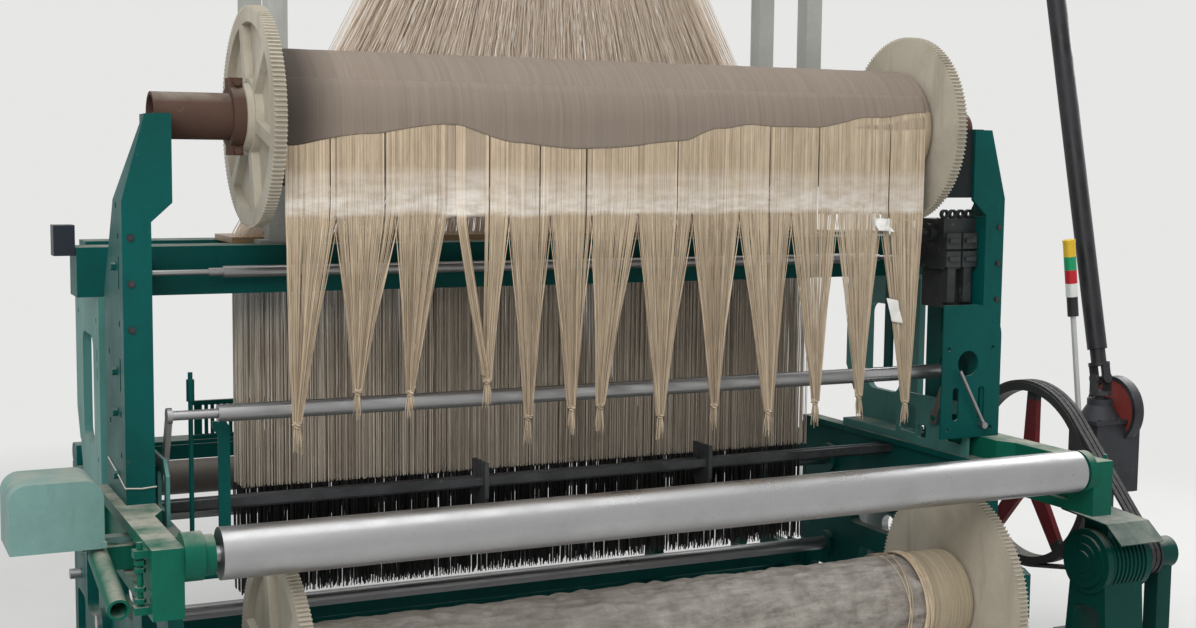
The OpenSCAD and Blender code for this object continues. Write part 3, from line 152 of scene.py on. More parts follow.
class Surface(Graph):
    """A shader tree with the textures that the loom's finishes share."""

    def __init__(self, name: str) -> None:
        """Makes the material.

        Args:
            name: The material's name.
        """
        self.material = bpy.data.materials.new(name)
        self.material.use_nodes = True
        super().__init__(self.material.node_tree)
        self.place = self.add("ShaderNodeTexCoord").outputs["Object"]

    def grain(self, scale: float | Point, detail: float = 4.0, rough: float = 0.6,
              place: Socket | None = None) -> Socket:
        """Noise over the object's own coordinates.

        Args:
            scale: One scale, or one for each axis, in features per metre.
            detail: Octaves of the noise.
            rough: How strong the fine octaves are.
            place: Coordinates to use in place of the object's.

        Returns:
            The noise value, from 0 to 1.
        """
        place = place or self.place
        if not isinstance(scale, (int, float)):
            place, scale = self.vector("MULTIPLY", place, scale), 1.0
        return self.add("ShaderNodeTexNoise", {"Vector": place, "Scale": scale, "Detail": detail,
                                               "Roughness": rough}).outputs[0]

    def band(self, value: Socket, low: float, high: float) -> Socket:
        """Value stretched so that low becomes 0 and high becomes 1, and kept between them."""
        return self.add("ShaderNodeMapRange", {"Value": value, "From Min": low, "From Max": high}).outputs[0]

    def inside(self, zone: Zone) -> Socket:
        """Finds where a zone lies.

        Args:
            zone: The zone, in the loom's own frame.

        Returns:
            1 inside it and 0 outside.
        """
        across = self.add("ShaderNodeSeparateXYZ", {0: self.place}).outputs
        along = self.add("ShaderNodeVectorMath", {0: self.place, 1: zone.along}, operation="DOT_PRODUCT")
        mask = None
        for value, low, high in zip((across[0], across[1], along.outputs["Value"]), zone.low, zone.high):
            above, below = self.math("GREATER_THAN", value, low), self.math("LESS_THAN", value, high)
            part = self.times(above, below)
            mask = self.times(mask, part) if mask else part
        if zone.ball:
            middle = tuple((a + b) / 2 for a, b in zip(zone.low, zone.high))
            reach = self.add("ShaderNodeVectorMath", {0: self.place, 1: middle}, operation="DISTANCE")
            mask = self.times(mask, self.math("LESS_THAN", reach.outputs["Value"], zone.ball))
        return mask

    def axis(self, axis: Axis) -> Socket:
        """The object's coordinate along one axis."""
        return self.add("ShaderNodeSeparateXYZ", {0: self.place}).outputs[list(Axis).index(axis)]

    def mix(self, factor: float | Socket, a: Colour | Socket, b: Colour | Socket) -> Socket:
        """Mixes two colours.

        Args:
            factor: 0 for a, 1 for b.
            a: The first colour.
            b: The second colour.

        Returns:
            The mixed colour.
        """
        pair = [x if isinstance(x, bpy.types.NodeSocket) else (*x, 1.0) for x in (a, b)]
        node = self.add("ShaderNodeMix", {0: factor, 6: pair[0], 7: pair[1]}, data_type="RGBA")
        return node.outputs[2]

    def finish(self, colour: Socket, rough: float | Socket, metal: float, height: Socket | None = None,
               depth: float = 0.0, coat: float = 0.0, level: float = 0.4) -> bpy.types.Material:
        """Adds the shader and the output.

        Args:
            colour: The surface's colour.
            rough: Its roughness.
            metal: 1 for bare metal, 0 for anything else.
            height: A pattern that stands proud, or None.
            depth: How far that pattern stands proud, in metres.
            coat: Weight of a clear gloss coat.
            level: How strongly a surface that isn't metal reflects.

        Returns:
            The finished material.
        """
        inputs = {"Base Color": colour, "Roughness": rough, "Metallic": metal, "Coat Weight": coat,
                  "Coat Roughness": 0.25, "Specular IOR Level": level}
        if height is not None:
            inputs["Normal"] = self.add("ShaderNodeBump", {"Height": height, "Distance": depth,
                                                           "Strength": 1.0}).outputs[0]
        shader = self.add("ShaderNodeBsdfPrincipled", inputs)
        self.add("ShaderNodeOutputMaterial", {"Surface": shader.outputs[0]})
        return self.material


@dataclass(frozen=True)
class Paint:
    """Machine enamel with dust on its upper faces, grime in patches and chips down to primer."""

    name: str
    colour: Colour
    grime: Colour = (0.006, 0.026, 0.024)
    dust: Colour = (0.42, 0.40, 0.34)
    dirt: float = 0.45
    chips: float = 0.3
    gloss: float = 0.40
    settled: float = 0.6
    zones: tuple[Zone, ...] = ()

    def build(self) -> bpy.types.Material:
        """Makes the material.

        Returns:
            The material.
        """
        s = Surface(self.name)
        patches = s.band(s.grain(3.1, 5.0), 0.42, 0.75)
        runs = s.band(s.grain((14.0, 14.0, 2.2), 4.0), 0.5, 0.8)
        soil = s.times(s.math("MAXIMUM", patches, runs), self.dirt)
        fine = s.times(s.band(s.grain(160.0, 3.0), 0.35, 0.7), 0.16)
        base = s.mix(fine, self.colour, tuple(1.35 * c + 0.01 for c in self.colour))
        for zone in self.zones:
            base = s.mix(s.inside(zone), base, zone.colour)
        base = s.mix(soil, base, self.grime)
        up = s.add("ShaderNodeSeparateXYZ", {0: s.add("ShaderNodeNewGeometry").outputs["Normal"]}).outputs[2]
        settled = s.times(s.band(up, 0.55, 1.0), s.band(s.grain(9.0, 6.0), 0.3, 0.65))
        base = s.mix(s.times(settled, self.settled), base, self.dust)
        chip = s.times(s.band(s.grain(34.0, 8.0, 0.72), 0.665, 0.685), self.chips)
        base = s.mix(chip, base, (0.16, 0.13, 0.11))
        rough = s.math("ADD", self.gloss, s.times(s.math("ADD", soil, settled), 0.35))
        return s.finish(base, rough, 0.0, s.grain(70.0, 3.0), 0.0006, level=0.1)


@dataclass(frozen=True)
class TurnedSteel:
    """Steel with fine turning or drawing marks, dull spots and a trace of rust."""

    name: str
    colour: Colour
    along: Axis
    rough: float = 0.27
    rust: float = 0.25

    def build(self) -> bpy.types.Material:
        """Makes the material.

        Returns:
            The material.
        """
        s = Surface(self.name)
        fine = tuple(6.0 if part else 420.0 for part in self.along.value)
        marks = s.grain(fine, 2.0)
        cloud = s.band(s.grain(5.0, 5.0), 0.35, 0.7)
        base = s.mix(s.times(marks, 0.5), self.colour, tuple(0.7 * c for c in self.colour))
        base = s.mix(s.times(cloud, 0.35), base, tuple(0.55 * c for c in self.colour))
        spots = s.band(s.grain(26.0, 8.0, 0.7), 0.63, 0.7)
        base = s.mix(s.times(spots, self.rust), base, (0.20, 0.11, 0.06))
        rough = s.math("ADD", self.rough, s.times(s.math("ADD", cloud, spots), 0.2))
        return s.finish(base, rough, 1.0, marks, 0.0002)


@dataclass(frozen=True)
class OiledIron:
    """Dark cast or forged metal with oil and lint on it."""

    name: str
    colour: Colour
    lint: float = 0.35
    zones: tuple[Zone, ...] = ()

    def build(self) -> bpy.types.Material:
        """Makes the material.

        Returns:
            The material.
        """
        s = Surface(self.name)
        cloud = s.band(s.grain(7.0, 6.0), 0.35, 0.7)
        base = s.mix(cloud, self.colour, tuple(1.8 * c + 0.015 for c in self.colour))
        for zone in self.zones:
            base = s.mix(s.inside(zone), base, zone.colour)
        fluff = s.times(s.band(s.grain(38.0, 8.0, 0.75), 0.6, 0.72), self.lint)
        base = s.mix(fluff, base, (0.36, 0.33, 0.28))
        return s.finish(base, s.math("ADD", 0.38, s.times(cloud, 0.3)), 0.35, s.grain(90.0, 4.0), 0.0007)


@dataclass(frozen=True)
class YarnFinish:
    """Cotton yarn seen as fine threads side by side.

    The threads come from the piece's own UV map, whose U runs across them in metres.
    """

    name: str
    pale: Colour
    dark: Colour
    pitch: float = 900.0
    relief: float = 0.0012

    def build(self) -> bpy.types.Material:
        """Makes the material.

        Returns:
            The material.
        """
        s = Surface(self.name)
        across = s.add("ShaderNodeUVMap", uv_map="threads").outputs[0]
        threads = s.grain((self.pitch, 3.0, 0.0), 2.0, 0.7, across)
        ropes = s.grain((self.pitch / 9, 1.4, 0.0), 3.0, 0.6, across)
        shade = s.band(s.math("ADD", s.times(threads, 0.55), s.times(ropes, 0.45)), 0.32, 0.66)
        base = s.mix(shade, self.dark, self.pale)
        base = with_film(s, base)
        tint = s.add("ShaderNodeAttribute", attribute_name="cover").outputs["Fac"]
        base = s.mix(tint, base, s.mix(shade, (0.185, 0.150, 0.121), (0.262, 0.212, 0.172)))
        base = s.mix(s.times(s.band(s.grain(4.0, 5.0), 0.45, 0.75), 0.22), base, (0.22, 0.17, 0.12))
        shaded_end = s.times(s.band(s.axis(Axis.X), -0.85, -0.97), 0.85)
        base = s.mix(shaded_end, base, (0.030, 0.023, 0.018))
        return s.finish(base, 0.82, 0.0, threads, self.relief)


def with_film(s: Surface, base: Socket) -> Socket:
    """Lays the band of clear film that is wound round the hanging ends over a colour.

    Args:
        s: The surface that shows it.
        base: The colour under it.

    Returns:
        The colour with the film.
    """
    height = s.math("ADD", s.axis(Axis.Z), s.times(s.grain(5.0, 2.0), 0.05))
    # The film's whitish colour is its own; its stronger lower strip, below 1.68 m, is a painted highlight,
    # which falls to 0.45 strength above 1.725 m.
    lower_highlight = s.math("MULTIPLY_ADD", s.band(height, 1.725, 1.680), 0.55, 0.45)
    rise = s.times(s.band(height, 1.635, 1.650), s.band(height, 1.775, 1.745))
    wrinkles = s.math("MULTIPLY_ADD", s.band(s.grain((16.0, 16.0, 48.0), 6.0, 0.62), 0.36, 0.62), 0.6, 0.4)
    mask = s.times(s.times(rise, lower_highlight), wrinkles)
    return s.mix(s.times(mask, 0.95), base, (0.80, 0.75, 0.68))


@dataclass(frozen=True)
class WrapFilm:
    """Crumpled film over a wound beam, with bare yarn past its end."""

    name: str
    yarn_from: float
    pale: Colour = (0.50, 0.465, 0.42)
    dark: Colour = (0.115, 0.096, 0.078)
    yarn: Colour = (0.48, 0.40, 0.28)

    def build(self) -> bpy.types.Material:
        """Makes the material.

        Returns:
            The material.
        """
        s = Surface(self.name)
        creases = s.grain((6.0, 22.0, 22.0), 9.0, 0.74)
        folds = s.grain((17.0, 9.0, 9.0), 8.0, 0.72)
        # Painted shade and highlight: a crumpled noise pattern darkens and pales the film's colour, standing
        # in for light and shade on its crumples.
        shade = s.band(s.math("ADD", s.times(creases, 0.62), s.times(folds, 0.38)), 0.34, 0.66)
        # Painted shade: this mask darkens the film's pale colour to two thirds towards the left end.
        clear = s.band(s.math("ADD", s.axis(Axis.X), s.times(s.grain(6.0, 3.0), 0.5)), -0.05, 0.55)
        pale = s.mix(clear, tuple(0.66 * c for c in self.pale), self.pale)
        film = s.mix(shade, self.dark, pale)
        threads = s.grain((420.0, 4.0, 4.0), 2.0)
        yarn = s.mix(s.band(threads, 0.35, 0.65), tuple(0.6 * c for c in self.yarn), self.yarn)
        edge = s.math("ADD", s.axis(Axis.X), s.times(s.grain(9.0, 3.0), 0.03))
        bare = s.band(edge, self.yarn_from, self.yarn_from + 0.01)
        rough = s.math("MULTIPLY_ADD", bare, 0.5, 0.3)
        return s.finish(s.mix(bare, film, yarn), rough, 0.0, s.math("ADD", creases, folds), 0.006)


@dataclass(frozen=True)
class StringFinish:
    """Separate strings whose shade changes from one to the next through their tone attribute."""

    name: str
    pale: Colour
    dark: Colour
    rough: float = 0.75
    metal: float = 0.0
    filmed: bool = False
    painted_highlight: bool = False

    def build(self) -> bpy.types.Material:
        """Makes the material.

        Returns:
            The material.
        """
        s = Surface(self.name)
        tone = s.add("ShaderNodeAttribute", attribute_name="tone").outputs["Fac"]
        fleck = s.band(s.grain((60.0, 60.0, 14.0), 4.0), 0.3, 0.7)
        base = s.mix(s.math("MULTIPLY_ADD", fleck, 0.3, s.times(tone, 0.7)), self.dark, self.pale)
        if self.filmed:
            base = with_film(s, base)
        # Painted highlight: mixes the upper left part of the strings towards a pale bluish white.
        if self.painted_highlight:
            highlight_mask = s.times(s.band(s.axis(Axis.X), -0.30, -0.85), s.band(s.axis(Axis.Z), 1.18, 1.42))
            base = s.mix(s.times(highlight_mask, 0.6), base, (0.80, 0.83, 0.87))
        return s.finish(base, self.rough, self.metal)


@dataclass(frozen=True)
class BoardWood:
    """Varnished beech with its grain along the board."""

    name: str
    colour: Colour

    def build(self) -> bpy.types.Material:
        """Makes the material.

        Returns:
            The material.
        """
        s = Surface(self.name)
        rings = s.grain((1.6, 42.0, 42.0), 6.0, 0.65)
        base = s.mix(s.band(rings, 0.3, 0.7), tuple(0.55 * c for c in self.colour), self.colour)
        return s.finish(base, 0.42, 0.0, rings, 0.0004, coat=0.2)


@dataclass(frozen=True)
class Rubber:
    """Dull black rubber with chalky wear."""

    name: str
    colour: Colour = (0.022, 0.022, 0.023)

    def build(self) -> bpy.types.Material:
        """Makes the material.

        Returns:
            The material.
        """
        s = Surface(self.name)
        wear = s.band(s.grain(48.0, 6.0), 0.4, 0.8)
        base = s.mix(s.times(wear, 0.5), self.colour, (0.11, 0.105, 0.10))
        return s.finish(base, 0.62, 0.0, s.grain(220.0, 3.0), 0.0003)


LAMP_LEAN = math.radians(7.0)
LAMP_AXIS = (-math.sin(LAMP_LEAN), 0.0, math.cos(LAMP_LEAN))
LAMP_FOOT = 0.572
LAMP_BANDS = (
    (0.0, 0.396, (0.52, 0.53, 0.51)), (0.468, 0.517, (0.74, 0.74, 0.72)),
    (0.517, 0.566, (0.50, 0.018, 0.028)), (0.566, 0.615, (0.015, 0.30, 0.13)),
    (0.615, 0.676, (0.72, 0.47, 0.035)))
LAMP_ZONES = tuple(Zone((1.7, -0.5, LAMP_FOOT + low), (2.2, -0.1, LAMP_FOOT + high), colour, LAMP_AXIS)
                   for low, high, colour in LAMP_BANDS)
WHEEL_ROOM = ((1.40, -0.570, 0.370), (2.20, -0.010, 0.930))
WHEEL_RED = 0.272
GREEN = (0.0012, 0.078, 0.070)


class Finishes:
    """Every finish of the loom, built once and looked up by its name."""

    ALL = (
        Paint("green_paint", GREEN),
        Paint("roller_arm_green", (0.004, 0.105, 0.066), chips=0.75, settled=0.9),
        Paint("light_green_paint", (0.075, 0.215, 0.195), dirt=0.3),
        Paint("cover_green", (0.17, 0.30, 0.275), grime=(0.06, 0.11, 0.10), dirt=0.5),
        Paint("pale_grey_paint", (0.40, 0.41, 0.385), grime=(0.12, 0.11, 0.09), dirt=0.35),
        Paint("motor_green", (0.002, 0.050, 0.040), gloss=0.28, settled=0.8),
        Paint("cream_paint", (0.47, 0.43, 0.35), grime=(0.13, 0.105, 0.075), dirt=0.5, gloss=0.42),
        Paint("red_primer", (0.092, 0.052, 0.038), grime=(0.035, 0.025, 0.02), gloss=0.6, dirt=0.5),
        Paint("wheel_red", (0.040, 0.038, 0.036), dirt=0.5,
              zones=(Zone(*WHEEL_ROOM, (0.16, 0.018, 0.022), ball=WHEEL_RED),)),
        Paint("saddle_green", GREEN, zones=(Zone((1.1, -2.0, 0.0), (2.0, 2.0, 4.0), (0.02, 0.022, 0.024)),)),
        Paint("rear_rail_green", GREEN,
              zones=(Zone((-1.60, -0.60, 1.4875), (-1.4849, 0.60, 1.5745), (0.025, 0.03, 0.04)),)),
        Paint("machine_green", GREEN,
              zones=(Zone((-0.6, -0.5, 2.6785), (0.7, 0.5, 2.7004), (0.33, 0.21, 0.11)),)),
        TurnedSteel("polished_steel", (0.42, 0.42, 0.425), Axis.Y),
        OiledIron("dark_steel", (0.022, 0.022, 0.024)),
        OiledIron("bar_iron", (0.050, 0.052, 0.055), lint=0.6),
        OiledIron("let_off_iron", (0.020, 0.024, 0.024), lint=0.5),
        OiledIron("shaft_black", (0.010, 0.010, 0.012), lint=0.12),
        OiledIron("gearbox_iron", (0.016, 0.017, 0.021), lint=0.3, zones=(
            Zone((2.1995, -0.41, 0.74), (2.2285, -0.17, 0.98), (0.30, 0.055, 0.045), ball=0.1128),)),
        OiledIron("lamp_black", (0.012, 0.012, 0.013), lint=0.0, zones=LAMP_ZONES),
        YarnFinish("warp_yarn", (0.50, 0.405, 0.30), (0.235, 0.18, 0.125)),
        WrapFilm("wrap_film", 0.885),
        StringFinish("cord_string", (0.92, 0.80, 0.67), (0.50, 0.41, 0.32)),
        StringFinish("bunch_string", (0.76, 0.63, 0.46), (0.32, 0.24, 0.16), filmed=True),
        StringFinish("harness_string", (0.98, 0.88, 0.74), (0.26, 0.205, 0.16), painted_highlight=True),
        StringFinish("weight_wire", (0.085, 0.08, 0.078), (0.012, 0.012, 0.012), rough=0.4, metal=0.5),
        StringFinish("twine", (0.72, 0.70, 0.64), (0.45, 0.43, 0.38)),
        Paint("paper_white", (0.74, 0.73, 0.69), grime=(0.45, 0.40, 0.33), chips=0.0, gloss=0.8, dirt=0.2),
        BoardWood("board_wood", (0.36, 0.23, 0.12)),
        Rubber("belt_rubber"),
        Rubber("roller_cover", (0.15, 0.13, 0.11)),
    )

    def __init__(self) -> None:
        """Builds every material."""
        self.by_name = {finish.name: finish.build() for finish in self.ALL}

    def __getitem__(self, name: str) -> bpy.types.Material:
        """The material of that name."""
        return self.by_name[name]


class Maker:
    """Turns lists of points and faces into pieces of the loom."""

    @staticmethod
    def mesh(name: str, points: list, faces: list, edges: list | None = None) -> bpy.types.Object:
        """Makes a mesh object at the origin.

        Args:
            name: The object's name.
            points: Its vertices, in metres.
            faces: Its faces, as vertex numbers.
            edges: Loose edges, for a path.

        Returns:
            The linked object.
        """
        data = bpy.data.meshes.new(name)
        data.from_pydata(points, edges or [], faces)
        obj = bpy.data.objects.new(name, data)
        bpy.context.scene.collection.objects.link(obj)
        return obj

    @staticmethod
    def bake(obj: bpy.types.Object, tree: bpy.types.NodeTree, values: dict[str, object]) -> bpy.types.Object:
        """Runs a geometry tree on an object and keeps the result as a plain mesh.

        Args:
            obj: The object that carries the tree's start geometry.
            tree: The geometry tree.
            values: The tree's inputs by name.

        Returns:
            The same object with its new mesh and no modifier.
        """
        modifier = obj.modifiers.new("made", "NODES")
        modifier.node_group = tree
        for item in tree.interface.items_tree:
            if item.item_type == "SOCKET" and item.in_out == "INPUT" and item.name in values:
                modifier[item.identifier] = values[item.name]
        view = bpy.context.evaluated_depsgraph_get()
        made = bpy.data.meshes.new_from_object(obj.evaluated_get(view), preserve_all_data_layers=True,
                                               depsgraph=view)
        obj.modifiers.remove(modifier)
        old, obj.data = obj.data, made
        bpy.data.meshes.remove(old)
        made.name = obj.name
        return obj

    @staticmethod
    def dress(obj: bpy.types.Object, uv: list[Pair], finish: bpy.types.Material,
              cover: list[float] | None = None) -> None:
        """Gives a yarn piece its thread map, its finish and its grey cover.

        Args:
            obj: The piece.
            uv: The thread map, one pair for each face corner.
            finish: Its finish.
            cover: How grey each vertex is, where the finish asks for it.
        """
        data = obj.data
        data.uv_layers.new(name="threads").data.foreach_set("uv", [c for pair in uv for c in pair])
        if cover:
            data.attributes.new("cover", "FLOAT", "POINT").data.foreach_set("value", cover)
        data.materials.append(finish)
        data.polygons.foreach_set("use_smooth", [len(p.vertices) == 4 for p in data.polygons])

    @staticmethod
    def done(obj: bpy.types.Object, body: str, slot: str, nodes: tuple[str, ...] = ()) -> None:
        """Puts a finished piece on its body.

        Args:
            obj: The piece.
            body: The CAD body it rides on.
            slot: The record's material slot, which is not used.
            nodes: CAD nodes that it stands for.
        """
        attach(obj, body)
        if nodes:
            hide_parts(*nodes)
        log.info("%s rides on %s with %d faces", obj.name, body, len(obj.data.polygons))


class Trees:
    """The geometry trees that make what repeats."""

    @staticmethod
    def start(name: str, inputs: dict[str, tuple[str, object]]) -> tuple[Graph, bpy.types.Node]:
        """Starts a geometry tree with its named inputs.

        Args:
            name: The tree's name.
            inputs: Socket kind and default by input name.

        Returns:
            The graph and its Group Input node.
        """
        tree = bpy.data.node_groups.new(name, "GeometryNodeTree")
        tree.interface.new_socket("Geometry", in_out="INPUT", socket_type="NodeSocketGeometry")
        for label, (kind, default) in inputs.items():
            socket = tree.interface.new_socket(label, in_out="INPUT", socket_type="NodeSocket" + kind)
            if default is not None:
                socket.default_value = default
        tree.interface.new_socket("Geometry", in_out="OUTPUT", socket_type="NodeSocketGeometry")
        graph = Graph(tree)
        return graph, graph.add("NodeGroupInput")

    @staticmethod
    def end(graph: Graph, geometry: Socket, material: Socket) -> bpy.types.NodeTree:
        """Realizes the instances, sets the material and closes the tree.

        Args:
            graph: The graph to close.
            geometry: What it has made.
            material: The material's socket.

        Returns:
            The tree.
        """
        real = graph.add("GeometryNodeRealizeInstances", {"Geometry": geometry})
        coated = graph.add("GeometryNodeSetMaterial", {"Geometry": real.outputs[0], "Material": material})
        graph.add("NodeGroupOutput", {0: coated.outputs[0]})
        return graph.tree

    @staticmethod
    def strings() -> bpy.types.NodeTree:
        """Strings that stand on a grid and lead to a second, narrower or shifted grid.

        Returns:
            The tree, with the field's sizes as its inputs.
        """
        g, inp = Trees.start("string_field", {
            "Centre": ("Vector", (0, 0, 0)), "Width": ("Float", 1.0), "Depth": ("Float", 0.1),
            "Columns": ("Int", 10), "Rows": ("Int", 2), "Scatter": ("Vector", (0, 0, 0)),
            "Top": ("Vector", (0, 0, 1)), "Spread": ("Vector", (1, 1, 0)), "Wander": ("Vector", (0, 0, 0)),
            "Thickness": ("Float", 0.001), "Sides": ("Int", 4), "Material": ("Material", None)})
        out = inp.outputs
        grid = g.add("GeometryNodeMeshGrid", {"Size X": out["Width"], "Size Y": out["Depth"],
                                              "Vertices X": out["Columns"], "Vertices Y": out["Rows"]})
        scatter = g.vector("MULTIPLY", g.dice(3, (-1, -1, -1), (1, 1, 1)), out["Scatter"])
        spot = g.vector("ADD", g.add("GeometryNodeInputPosition").outputs[0], scatter)
        drift = g.vector("MULTIPLY", g.dice(8, (-1, -1, -1), (1, 1, 1)), out["Wander"])
        high = g.vector("ADD", g.vector("ADD", g.vector("MULTIPLY", spot, out["Spread"]), drift), out["Top"])
        low = g.vector("ADD", spot, out["Centre"])
        kept = g.store(grid.outputs[0], "way", g.vector("SUBTRACT", high, low), "FLOAT_VECTOR", "POINT")
        placed = g.add("GeometryNodeSetPosition", {"Geometry": kept, "Position": low})
        along = g.named("way", "FLOAT_VECTOR")
        turn = g.add("FunctionNodeAlignRotationToVector", {"Vector": along}, axis="Z")
        long = g.add("ShaderNodeVectorMath", {0: along}, operation="LENGTH").outputs["Value"]
        thick = g.times(g.dice(5, 0.7, 1.3), out["Thickness"])
        size = g.add("ShaderNodeCombineXYZ", {0: thick, 1: thick, 2: long})
        tube = g.add("GeometryNodeMeshCylinder", {"Vertices": out["Sides"], "Radius": 1.0, "Depth": 1.0},
                     fill_type="NGON")
        stood = g.add("GeometryNodeTransform", {"Geometry": tube.outputs[0], "Translation": (0, 0, 0.5)})
        many = g.add("GeometryNodeInstanceOnPoints", {
            "Points": placed.outputs[0], "Instance": stood.outputs[0], "Rotation": turn.outputs[0],
            "Scale": size.outputs[0]})
        toned = g.store(many.outputs[0], "tone", g.dice(11, 0.0, 1.0), "FLOAT", "INSTANCE")
        return Trees.end(g, toned, out["Material"])

    @staticmethod
    def strands() -> bpy.types.NodeTree:
        """Tubes along the edges of a path mesh, as thick as its gauge attribute says.

        Returns:
            The tree.
        """
        g, inp = Trees.start("strand_sweep", {"Sides": ("Int", 4), "Material": ("Material", None)})
        curve = g.add("GeometryNodeMeshToCurve", {"Mesh": inp.outputs["Geometry"]})
        gauge = g.named("gauge", "FLOAT")
        ring = g.add("GeometryNodeCurvePrimitiveCircle", {"Resolution": inp.outputs["Sides"], "Radius": 1.0})
        sized = g.add("GeometryNodeSetCurveRadius", {"Curve": curve.outputs[0], "Radius": gauge})
        sweep = g.add("GeometryNodeCurveToMesh", {"Curve": sized.outputs[0], "Profile Curve": ring.outputs[0],
                                                  "Fill Caps": True})
        if "Scale" in sweep.inputs:
            radius = g.add("GeometryNodeInputRadius")
            g.tree.links.new(radius.outputs[0], sweep.inputs["Scale"])
        return Trees.end(g, sweep.outputs[0], inp.outputs["Material"])

    @staticmethod
    def bolts() -> bpy.types.NodeTree:
        """Hexagon bolt heads with washers at the points of a mesh, along its facing attribute.

        Returns:
            The tree.
        """
        g, inp = Trees.start("bolt_heads", {"Size": ("Float", 0.01), "Material": ("Material", None)})
        washer = g.add("GeometryNodeMeshCylinder", {"Vertices": 16, "Radius": 1.25, "Depth": 0.2})
        low = g.add("GeometryNodeTransform", {"Geometry": washer.outputs[0], "Translation": (0, 0, 0.1)})
        head = g.add("GeometryNodeMeshCylinder", {"Vertices": 6, "Radius": 1.0, "Depth": 0.7})
        high = g.add("GeometryNodeTransform", {"Geometry": head.outputs[0], "Translation": (0, 0, 0.5)})
        joined = g.add("GeometryNodeJoinGeometry")
        g.tree.links.new(low.outputs[0], joined.inputs[0])
        g.tree.links.new(high.outputs[0], joined.inputs[0])
        facing = g.named("facing", "FLOAT_VECTOR")
        turn = g.add("FunctionNodeAlignRotationToVector", {"Vector": facing}, axis="Z")
        many = g.add("GeometryNodeInstanceOnPoints", {
            "Points": inp.outputs["Geometry"], "Instance": joined.outputs[0], "Rotation": turn.outputs[0],
            "Scale": inp.outputs["Size"]})
        return Trees.end(g, many.outputs[0], inp.outputs["Material"])


@dataclass
class Shop:
    """What every sub-assembly needs to make its pieces."""

    finishes: Finishes = field(default_factory=Finishes)
    string_tree: bpy.types.NodeTree = field(default_factory=Trees.strings)
    strand_tree: bpy.types.NodeTree = field(default_factory=Trees.strands)
    bolt_tree: bpy.types.NodeTree = field(default_factory=Trees.bolts)

    def paint(self, node: str, name: str) -> None:
        """Gives a CAD node its finish.

        Args:
            node: The node's name.
            name: The finish of all its material slots.
        """
        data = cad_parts[node].data
        if not data.materials:
            data.materials.append(None)
        for i in range(len(data.materials)):
            data.materials[i] = self.finishes[name]

    def strings(self, name: str, material: str, **values: object) -> bpy.types.Object:
        """Makes a field of strings from the tree's inputs, not yet on its body."""
        values["Material"] = self.finishes[material]
        return Maker.bake(Maker.mesh(name, [], []), self.string_tree, values)

    def strands(self, name: str, material: str, paths: Paths, gauges: Radii, sides: int = 4,
                seed: int = 1) -> bpy.types.Object:
        """Sweeps tubes along paths.

        Args:
            name: The piece's name.
            material: Its finish.
            paths: The points of each strand.
            gauges: The radius at each of those points.
            sides: Sides of each tube.
            seed: Seed of the strands' tones.

        Returns:
            The piece, not yet on its body.
        """
        dice = random.Random(seed)
        points, edges, gauge, tone = [], [], [], []
        for path, radii in zip(paths, gauges):
            first = len(points)
            points += path
            gauge += radii
            tone += [dice.random()] * len(path)
            edges += [(i, i + 1) for i in range(first, len(points) - 1)]
        obj = Maker.mesh(name, points, [], edges)
        obj.data.attributes.new("gauge", "FLOAT", "POINT").data.foreach_set("value", gauge)
        obj.data.attributes.new("tone", "FLOAT", "POINT").data.foreach_set("value", tone)
        return Maker.bake(obj, self.strand_tree, {"Sides": sides, "Material": self.finishes[material]})

    def bolts(self, name: str, spots: list[tuple[Point, Point]], size: float) -> bpy.types.Object:
        """Sets bolt heads.

        Args:
            name: The piece's name.
            spots: Place and outward direction of each head.
            size: Radius over a head's corners.

        Returns:
            The piece, not yet on its body.
        """
        obj = Maker.mesh(name, [p for p, _ in spots], [])
        facing = obj.data.attributes.new("facing", "FLOAT_VECTOR", "POINT")
        facing.data.foreach_set("vector", [c for _, d in spots for c in d])
        return Maker.bake(obj, self.bolt_tree, {"Size": size, "Material": self.finishes["dark_steel"]})


@dataclass
class Harness:
    """Cords, heald wires and weights, from the collar board down."""

    shop: Shop
    middle: Pair = (0.030, 0.070)
    board_top: float = 1.530
    board_under: float = 1.512
    collar: float = 2.680
    heald_end: float = 0.760
    weight_end: float = 0.420
    width: float = 2.030
    depth: float = 0.120

    def hang(self, name: str, material: str, slot: str, node: str, counts: tuple[int, int], heights: Pair,
             **values: object) -> None:
        """Makes one field of strings and puts it on the frame.

        Args:
            name: The piece's name.
            material: Its finish.
            slot: The record's material slot.
            node: The CAD node that it stands for.
            counts: Strings across and deep.
            heights: Height of their lower and of their upper ends.
            values: The tree's other inputs, by name.
        """
        low, high = heights
        columns, rows = counts
        obj = self.shop.strings(name, material, Centre=(*self.middle, low), Top=(*self.middle, high),
                                Width=self.width, Depth=self.depth, Columns=columns, Rows=rows, Sides=4,
                                **values)
        Maker.done(obj, "root", slot, (node,))

    def build(self) -> None:
        """Makes the harness and puts it on the frame."""
        straight = (1.0, 1.0, 0.0)
        self.hang("cord_fan_strings", "cord_string", "warp_yarn", "cord_fan", (300, 9),
                  (self.board_top, self.collar), Scatter=(0.004, 0.004, 0.0), Spread=(0.355, 0.8, 0.0),
                  Wander=(0.05, 0.012, 0.0), Thickness=0.0009)
        self.hang("harness_strings", "harness_string", "harness_yarn", "harness_curtain", (330, 11),
                  (self.heald_end, self.board_under), Scatter=(0.004, 0.005, 0.0), Spread=straight,
                  Wander=(0.005, 0.003, 0.0), Thickness=0.0013)
        self.hang("harness_weight_wires", "weight_wire", "weight_black", "harness_weights", (210, 7),
                  (self.weight_end, self.heald_end), Scatter=(0.004, 0.005, 0.0), Spread=straight,
                  Wander=(0.004, 0.003, 0.0), Thickness=0.0021)


@dataclass
class Bunch:
    """One bunch of hanging warp ends: its width at the top, and its knot."""

    left: float
    right: float
    knot_x: float
    knot_z: float


